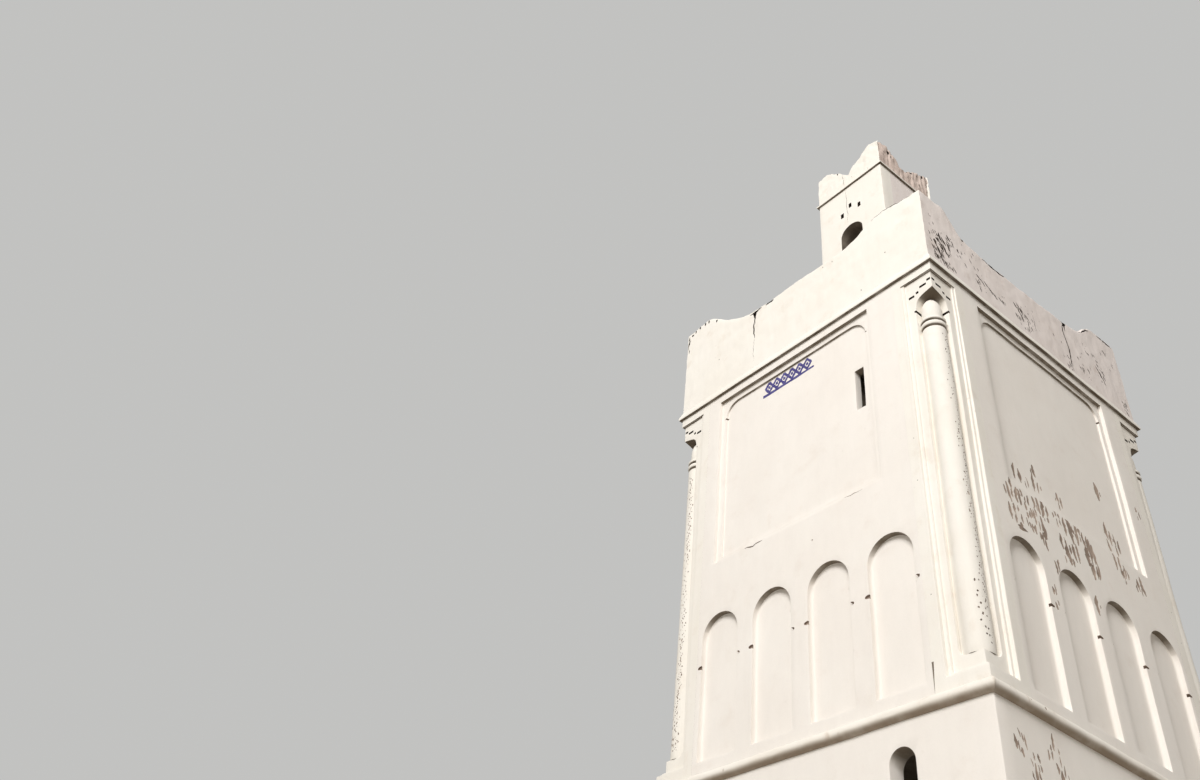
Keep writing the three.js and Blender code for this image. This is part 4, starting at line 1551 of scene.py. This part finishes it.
@dataclass
class Walk:
    """A ledge and four parapet walls with swept tops, mitred at the corners."""

    levels: Levels
    finishes: Finishes
    prefix: str
    half: float
    wall: float
    foot: float
    datum: float
    ledge_foot: float
    ledge_reach: float
    ledge_nose: float
    ledge_height: float
    corners: tuple[float, ...]
    tops: tuple[tuple[Point, ...], ...]
    shift: Point = (0.0, 0.0)
    rounding: float = 0.05
    step: float = 0.03
    roughness: float = 0.009
    bites: float = 0.0
    eroded: bool = False

    def ledge_section(self, _: float) -> list[Point]:
        """The drip ledge's closed section: flat soffit, short nose and a wash back to the wall.

        Args:
            _: the place along the side, which doesn't matter here.

        Returns:
            Its points as distance out and height.
        """
        half, foot = self.half, self.ledge_foot
        outer, nose, top = half + self.ledge_reach, foot + self.ledge_nose, foot + self.ledge_height - JOINT
        r = min(0.008, self.ledge_nose / 4)
        points = [(half - self.wall, foot), (half - 0.02, foot)]
        points += [(half + self.ledge_reach * t, foot) for t in (0.0, 0.4, 0.8)]
        points += [(outer - r, foot), (outer - r * 0.3, foot + r * 0.3), (outer, foot + r)]
        points += [(outer, nose - r), (outer - r * 0.3, nose - r * 0.2)]
        for t in (0.1, 0.3, 0.5, 0.7, 0.85, 0.97):
            points.append((outer + (half - outer) * t, nose + (top - nose) * t))
        return points + [(half, top), (half - self.wall, top)]

    def section(self, top: float) -> list[Point]:
        """The parapet's closed section up to a height.

        Args:
            top: the height.

        Returns:
            Its points as distance out and height.
        """
        outer, inner, r = self.half, self.half - self.wall, self.rounding
        points = [(outer, self.foot + (top - r - self.foot) * i / 22) for i in range(23)]
        arc = [QUARTER * i / 5 for i in range(1, 6)]
        points += [(outer - r + r * math.cos(a), top - r + r * math.sin(a)) for a in arc]
        points += [(outer - r - (self.wall - 2 * r) * i / 5, top) for i in range(1, 5)]
        points += [(inner + r - r * math.sin(a), top - r + r * math.cos(a)) for a in (0.0, *arc)]
        return points + [(inner, self.foot + (top - r - self.foot) * i / 12) for i in range(11, -1, -1)]

    def worn(self, p: Vector) -> Vector:
        """How the parapet's skin has weathered, most at its top.

        Args:
            p: a point of the skin.

        Returns:
            Its stray.
        """
        rise = min(max((p.z - self.foot) / 0.25, 0.0), 1.0)
        rough = noise.noise_vector(p * 6.0) * 0.55 + noise.noise_vector(p * 15.0) * 0.45
        sag = noise.noise(p * 4.0 + Vector((2.0, 1.0, 4.0)))
        bite = max(noise.noise(Vector((p.x * 11.0, p.y * 11.0, 6.4))), -0.15) + 0.1
        drop = (0.35 - sag) * self.roughness + bite * self.bites
        return rough * self.roughness * rise - Vector((0, 0, drop * rise))

    def gullied(self, p: Vector) -> Vector:
        """The skin where rain has cut gullies down an eroded side.

        Args:
            p: a point of the skin.

        Returns:
            Its stray.
        """
        rise = min(max((p.z - self.foot) / 0.12, 0.0), 1.0)
        gully = noise.noise(Vector((p.x * 3.0, p.y * 17.0, p.z * 2.5)))
        lump = noise.noise(p * 9.0)
        bite = noise.noise(Vector((1.7, p.y * 13.0, 4.4)))
        depth = max(gully, -0.15) * 0.03 + lump * 0.012 + 0.008
        top = rise * max(bite, -0.1) * 0.05
        return self.worn(p) + Vector((-depth * rise, 0.0, -top))

    def build(self, damage: Sequence[Damage]) -> None:
        """Builds four ledges and four parapets.

        Args:
            damage: the worn places of the four parapets.
        """
        stations = spaced(-self.half, self.half, self.step)
        for quarters, side in enumerate(SIDES):
            matrix = turned(quarters, (*self.shift, 0.0))
            bend = self.half - self.wall - 0.05
            ledge = mitred_run(self.half, bend, stations, self.ledge_section)
            ledge.move(matrix).stray(COURSE_STRAY)
            name = f"{self.prefix}ledge_{side}"
            node = name if self.prefix else f"terrace_{name}"
            coats = [self.finishes.ivory, self.finishes.bare]
            ledge.piece(f"{node}_limewashed", [node], "ivory_limewash", coats)
            keys = [(x, self.datum + z) for x, z in self.tops[quarters]]
            left, right = self.corners[(quarters + 3) % 4], self.corners[quarters]
            height = swept_top(keys, self.datum + left, self.datum + right, self.half)
            form = mitred_run(self.half, bend, stations, lambda s, h=height: self.section(h(s)))
            ragged = self.eroded and quarters == 1
            form.move(matrix).stray(COURSE_STRAY, self.gullied if ragged else self.worn)
            form.cut(damage[quarters].forms(matrix), True)
            node = f"{self.prefix}parapet_{side}"
            worn = self.finishes.eroded if ragged else self.finishes.weathered
            # The second coat is almost black: painted shade in the parapets' cracks, gashes, pits and peeled
            # places.
            coats = [worn if quarters == 1 else self.finishes.ivory, self.finishes.pitted_and_shaded]
            form.piece(f"{node}_limewashed", [node], "ivory_limewash", coats, ROUGH_SHARP)


def terrace(levels: Levels, finishes: Finishes) -> None:
    """Builds the terrace walk with the damage that its parapets show.

    Args:
        levels: shared heights.
        finishes: materials.
    """
    plain = ((-1.9, 1.74), (-1.65, 1.72), (-1.3, 1.52), (-0.9, 1.38), (0.0, 1.36),
             (0.9, 1.38), (1.3, 1.52), (1.65, 1.72), (1.9, 1.74))
    walk = Walk(
        levels, finishes, "", half=2.25, wall=0.3, foot=levels.ledge_foot + 0.15, datum=levels.frame_top,
        ledge_foot=levels.ledge_foot, ledge_reach=0.042, ledge_nose=0.042, ledge_height=0.15,
        corners=(1.565, 1.74, 1.7, 1.93), roughness=0.012,
        tops=(
            ((-1.9, 1.96), (-1.72, 1.95), (-1.33, 1.66), (-1.0, 1.49), (-0.7, 1.44), (0.0, 1.44),
             (0.7, 1.42), (1.0, 1.44), (1.27, 1.54), (1.48, 1.645), (1.65, 1.67), (1.9, 1.615)),
            ((-1.9, 1.59), (-1.74, 1.59), (-1.6, 1.43), (-1.4, 1.25), (-0.83, 1.2), (0.0, 1.24),
             (0.945, 1.325), (1.3, 1.42), (1.45, 1.57), (1.63, 1.7), (1.9, 1.74)),
            plain, plain,
        ),
    )
    top = levels.frame_top
    front, right, back, left = (Damage(81 + i, walk.half) for i in range(4))
    front.gash(-0.76, top + 1.395, top + 1.12, 0.1)
    for width, depth, *points in (
        (0.035, 0.05, (-0.86, 1.385), (-0.76, 1.378), (-0.62, 1.38)),
        (0.022, 0.03, (-0.77, 1.2), (-0.78, 1.0), (-0.76, 0.85)),
        (0.05, 0.05, (-0.54, 1.385), (-0.46, 1.388), (-0.38, 1.385)),
        (0.005, 0.008, (-0.77, 0.87), (-0.78, 0.62), (-0.77, 0.4)),
        (0.016, 0.04, (1.45, 1.585), (1.65, 1.62), (1.9, 1.575), (2.2, 1.54)),
        (0.035, 0.05, (-2.215, 1.86), (-2.22, 1.7), (-2.215, 1.5)),
    ):
        front.crack([(x, top + z) for x, z in points], width, depth)
    for x, z in ((1.19, 0.4), (0.57, 1.33), (0.74, 1.32), (-1.5, 0.9), (1.62, 0.8)):
        front.pit(x, top + z, 0.012)
    for x, z in ((-2.15, 1.85), (-2.08, 1.88), (-1.98, 1.9), (-1.86, 1.905), (-1.78, 1.9), (-1.6, 1.8)):
        front.pit(x, top + z, 0.026, 0.03)
    for width, depth, *points in (
        (0.03, 0.03, (0.85, 1.29), (0.8, 1.02), (0.85, 0.72), (0.82, 0.45), (0.84, 0.32)),
        (0.01, 0.03, (0.02, 0.85), (0.04, 0.68), (0.02, 0.5)),
    ):
        right.crack([(x, top + z) for x, z in points], width, depth)
    right.gash(0.87, top + 1.27, top + 1.1, 0.12)
    for width, depth, *points in (
        (0.04, 0.05, (-1.0, 1.145), (-0.75, 1.145), (-0.5, 1.16)),
        (0.035, 0.05, (1.82, 1.675), (2.02, 1.68), (2.2, 1.67)),
        (0.03, 0.05, (1.34, 1.4), (1.46, 1.52), (1.6, 1.62)),
    ):
        right.crack([(x, top + z) for x, z in points], width, depth)
    for x, z in ((-1.18, 0.64), (-1.02, 0.63), (-0.94, 0.57), (-0.85, 0.54), (-0.72, 0.55), (-1.1, 0.6)):
        right.flake(x, top + z, 0.03, 0.12, 0.012, 0.9)
    for x, z, wide, tall, count, size in (
        (-2.04, 0.62, 0.12, 0.27, 20, 0.044), (-1.86, 0.74, 0.13, 0.2, 18, 0.042),
        (-1.73, 0.93, 0.08, 0.1, 6, 0.034), (-1.96, 0.4, 0.16, 0.1, 13, 0.038),
        (-1.8, 0.36, 0.14, 0.04, 8, 0.028), (-2.1, 1.05, 0.08, 0.12, 8, 0.024),
        (-1.15, 0.5, 0.12, 0.08, 7, 0.024), (-0.63, 0.59, 0.06, 0.08, 5, 0.03),
        (-0.3, 0.72, 0.08, 0.08, 8, 0.032), (-0.24, 0.52, 0.2, 0.15, 22, 0.03),
        (0.76, 0.42, 0.07, 0.14, 8, 0.026), (1.2, 0.6, 0.22, 0.2, 12, 0.022),
        (1.62, 0.8, 0.1, 0.22, 14, 0.03), (2.1, 0.55, 0.08, 0.24, 16, 0.03),
        (0.3, 0.7, 0.6, 0.3, 14, 0.018), (-1.5, 0.85, 0.5, 0.25, 22, 0.018),
        (1.35, 1.0, 0.25, 0.2, 10, 0.02), (1.9, 1.2, 0.2, 0.25, 10, 0.02),
    ):
        right.peeled(x, top + z, wide, tall, count, size, 0.45)
    for x, z, s in (
            (-1.42, 1.2, 0.035), (-0.86, 1.18, 0.03), (-0.5, 1.2, 0.03), (0.1, 1.25, 0.025),
            (0.86, 1.32, 0.05), (1.15, 1.38, 0.03), (1.3, 1.42, 0.04), (1.5, 1.62, 0.04),
            (1.75, 1.72, 0.03), (2.0, 1.72, 0.045)):
        right.pit(x, top + z, s, 0.05)
    for wear in (back, left):
        wear.crack([(0.3, top + 1.35), (0.33, top + 1.1), (0.29, top + 0.8), (0.32, top + 0.6)], 0.009)
        wear.scatter(14, (-2.1, 2.1), (top + 0.36, top + 1.2), (0.007, 0.022))
    walk.build((front, right, back, left))


@dataclass
class Lantern:
    """The small square lantern: four walls, ledge, roof and parapet."""

    levels: Levels
    finishes: Finishes
    x: float = -0.05
    y: float = -0.04
    half: float = 0.68
    wall: float = 0.25
    ledge_foot: float = 16.758
    window_x: float = -0.02
    window_half: float = 0.225
    window_foot: float = 14.6
    window_spring: float = 15.535
    door_half: float = 0.29
    door_rise: float = 1.5
    arris: float = 0.012
    cell: float = 0.085

    def wall_piece(self, quarters: int) -> None:
        """Builds one wall.

        Args:
            quarters: its side.
        """
        inner = self.half - self.wall
        foot, top = self.levels.terrace_top + JOINT, self.ledge_foot - JOINT
        broad = quarters % 2 == 0
        reach = self.half if broad else inner - JOINT
        form = Form.block((-reach, reach), (-self.half, -inner), (foot, top))
        if quarters == 0:
            outline = arch(self.window_x, self.window_half, self.window_foot, self.window_spring)
            # The window's faces take the inside's dark coat: painted shade inside the lantern.
            form.cut([Form.prism(outline, -self.half - CLEAR, -inner + CLEAR, Coat.INSIDE)])
        if quarters == 2:
            outline = arch(0.0, self.door_half, foot - CLEAR, self.levels.terrace_top + self.door_rise)
            form.cut([Form.prism(outline, -self.half - CLEAR, -inner + CLEAR)])
        hidden = at_both(
            lambda p: p.y > -inner - 2 * NEAR, lambda p: p.z < foot + NEAR, lambda p: p.z > top - NEAR,
            lambda p: not broad and abs(p.x) > reach - NEAR)
        form.soften(self.arris, hidden).divide(self.cell).line(lambda p: p.y > -inner - 0.02)
        matrix = turned(quarters, (self.x, self.y, 0.0))
        form.move(matrix).stray(STRAY)
        wear = Damage(101 + quarters, self.half)
        if quarters == 0:
            for x, z in ((-0.19, 4.46), (-0.01, 4.6), (0.175, 4.47)):
                wear.socket(x, self.levels.frame_top + z, 0.06, 0.11, 0.2)
            seam = ((-0.1, 16.74), (-0.075, 16.5), (-0.09, 16.3), (-0.07, 16.08), (-0.085, 15.85))
            wear.crack(seam, 0.007, 0.008)
        wear.scatter(6, (-reach + 0.06, reach - 0.06), (12.3, 14.4), (0.005, 0.012))
        if quarters:
            wear.peeled(0.1, 13.3, 0.2, 0.5, 7, 0.02)
        form.cut(wear.forms(matrix), True)
        name = f"lantern_wall_{SIDES[quarters]}"
        wash = self.finishes.weathered if quarters == 1 else self.finishes.ivory
        # The second coat is almost black: painted shade in the sockets, the seam and the pits; the third is
        # the inside's dark render, painted shade.
        coats = [wash, self.finishes.pitted_and_shaded, self.finishes.inside]
        form.piece(f"{name}_limewashed", [name], "ivory_limewash", coats)

    def build(self) -> None:
        """Builds the walls, the ledge and the parapet."""
        for quarters in range(4):
            self.wall_piece(quarters)
        plain = ((-0.5, 0.8), (-0.3, 0.64), (0.0, 0.42), (0.3, 0.64), (0.5, 0.8))
        walk = Walk(
            self.levels, self.finishes, "lantern_", half=self.half, wall=0.15, foot=self.ledge_foot + 0.07,
            datum=self.ledge_foot, ledge_foot=self.ledge_foot, ledge_reach=0.036, ledge_nose=0.028,
            ledge_height=0.07, corners=(0.695, 0.85, 0.79, 0.76),
            tops=(
                ((-0.5, 0.84), (-0.21, 0.58), (-0.04, 0.4), (0.14, 0.52), (0.44, 0.735), (0.5, 0.73)),
                ((-0.5, 0.75), (-0.38, 0.68), (-0.22, 0.6), (-0.035, 0.44), (0.11, 0.5), (0.42, 0.735),
                 (0.5, 0.79)),
                plain, plain,
            ),
            shift=(self.x, self.y), rounding=0.028, step=0.016, roughness=0.016, bites=0.045, eroded=True,
        )
        damage = [Damage(111 + i, self.half) for i in range(4)]
        foot = self.ledge_foot
        damage[0].pit(-0.24, foot + 0.58, 0.03, 0.05)
        damage[0].crack([(-0.13, foot + 0.46), (-0.12, foot + 0.3), (-0.11, foot + 0.1)], 0.007, 0.008)
        for x, z, s in (
                (-0.42, 0.56, 0.05), (-0.55, 0.4, 0.02), (-0.05, 0.43, 0.035), (0.06, 0.46, 0.03),
                (0.2, 0.54, 0.03), (0.33, 0.66, 0.03), (0.42, 0.72, 0.05), (0.52, 0.74, 0.05),
                (0.6, 0.77, 0.04)):
            damage[1].pit(x, foot + z, s, 0.05)
        for x, z, wide, tall, count in (
                (-0.42, 0.34, 0.16, 0.2, 26), (0.0, 0.25, 0.2, 0.1, 18), (0.42, 0.4, 0.16, 0.22, 24)):
            damage[1].peeled(x, foot + z, wide, tall, count, 0.024, 0.3)
        for wear in damage:
            wear.scatter(5, (-0.55, 0.55), (foot + 0.12, foot + 0.4), (0.005, 0.012))
        walk.build(damage)


@dataclass
class Studio:
    """Camera, soft light and a plain pale floor."""

    position: Triple = (7.209, -10.12, 1.617)
    right: Triple = (0.62162, 0.77492, 0.1144)
    up: Triple = (0.47202, -0.48711, 0.73479)
    lens: float = 31.78
    sensor: float = 36.0
    shift: Point = (0.0079, -0.0203)
    backdrop: Triple = (-0.6, 0.65, 0.46)
    near_sky: RGB = (0.27, 0.252, 0.228)
    far_sky: RGB = (0.54, 0.54, 0.53)
    floor_reach: Point = (-40.0, 40.0)
    floor_depth: Point = (-0.05, -0.001)

    def camera(self) -> None:
        """Places the camera at the picture's viewing angle."""
        data = bpy.data.cameras.new("camera")
        data.lens = self.lens
        data.sensor_width = self.sensor
        data.shift_x, data.shift_y = self.shift
        data.clip_end = 200.0
        camera = bpy.data.objects.new("camera", data)
        bpy.context.scene.collection.objects.link(camera)
        right = Vector(self.right).normalized()
        up = (Vector(self.up) - right * right.dot(Vector(self.up))).normalized()
        turn = Matrix((right, up, right.cross(up))).transposed()
        camera.matrix_world = Matrix.Translation(self.position) @ turn.to_4x4()
        bpy.context.scene.camera = camera

    def lamp(self, name: str, where: Sequence[float], target: Sequence[float], size: float, power: float,
             colour: RGB) -> None:
        """Hangs one soft lamp.

        Args:
            name: its name.
            where: its place.
            target: the point that it faces.
            size: its side.
            power: its power in watts.
            colour: its colour.
        """
        data = bpy.data.lights.new(name, "AREA")
        data.shape = "DISK"
        data.size = size
        data.energy = power
        data.color = colour
        lamp = bpy.data.objects.new(name, data)
        bpy.context.scene.collection.objects.link(lamp)
        lamp.location = where
        lamp.rotation_euler = (Vector(target) - Vector(where)).to_track_quat("-Z", "Y").to_euler()

    def build(self) -> None:
        """Sets up the studio."""
        self.camera()
        self.lamp("key", (17.0, -33.0, 30.0), (0.0, 0.0, 10.0),
                  size=22.0, power=16500.0, colour=(1.0, 0.99, 0.975))
        self.lamp("back", (-24.0, 26.0, 26.0), (0.0, 0.0, 9.0),
                  size=16.0, power=5000.0, colour=(1.0, 0.99, 0.98))
        m = Mixer("studio", True)
        towards = m.node("ShaderNodeTexCoord", {}, {}, "Generated")
        sockets = {0: towards, 1: self.backdrop}
        behind = m.node("ShaderNodeVectorMath", {"operation": "DOT_PRODUCT"}, sockets, "Value")
        colour = m.blend(behind.band(-0.1, 0.6), self.near_sky, self.far_sky)
        sky = m.node("ShaderNodeBackground", {}, {"Color": colour})
        bpy.context.scene.world = m.close(sky, "ShaderNodeOutputWorld")
        bpy.context.scene.view_settings.view_transform = "Standard"
        floor = Form.block(self.floor_reach, self.floor_reach, self.floor_depth)
        mesh = floor.mesh("studio_floor")
        mesh.materials.clear()
        mesh.materials.append(PlainGround("studio_ground", (0.6, 0.6, 0.6), (0.5, 0.47, 0.43)).make())
        obj = bpy.data.objects.new("studio_floor", mesh)
        bpy.context.scene.collection.objects.link(obj)


def dress_floors(finishes: Finishes) -> None:
    """Gives the floors and the lantern's roof their screed.

    Args:
        finishes: materials.
    """
    for name in ("ground_floor", "terrace_floor", "lantern_roof"):
        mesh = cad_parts[name].data
        mesh.materials.clear()
        mesh.materials.append(finishes.screed)
        LOG.info("%s: screed", name)


def main() -> None:
    """Builds the studio and every sub-assembly."""
    logging.basicConfig(level=logging.INFO, format="%(message)s")
    noise.seed_set(NOISE_SEED)
    Studio().build()
    levels = Levels()
    finishes = Finishes.mixed()
    LowerShaft(levels, finishes).build()
    StringCourse(levels, finishes).build()
    UpperShaft(levels, finishes).build()
    terrace(levels, finishes)
    Lantern(levels, finishes).build()
    dress_floors(finishes)
    for coat in Coat:
        bpy.data.materials.remove(bpy.data.materials[f"spare_{coat.name}"])


if __name__ == "__main__":
    main()
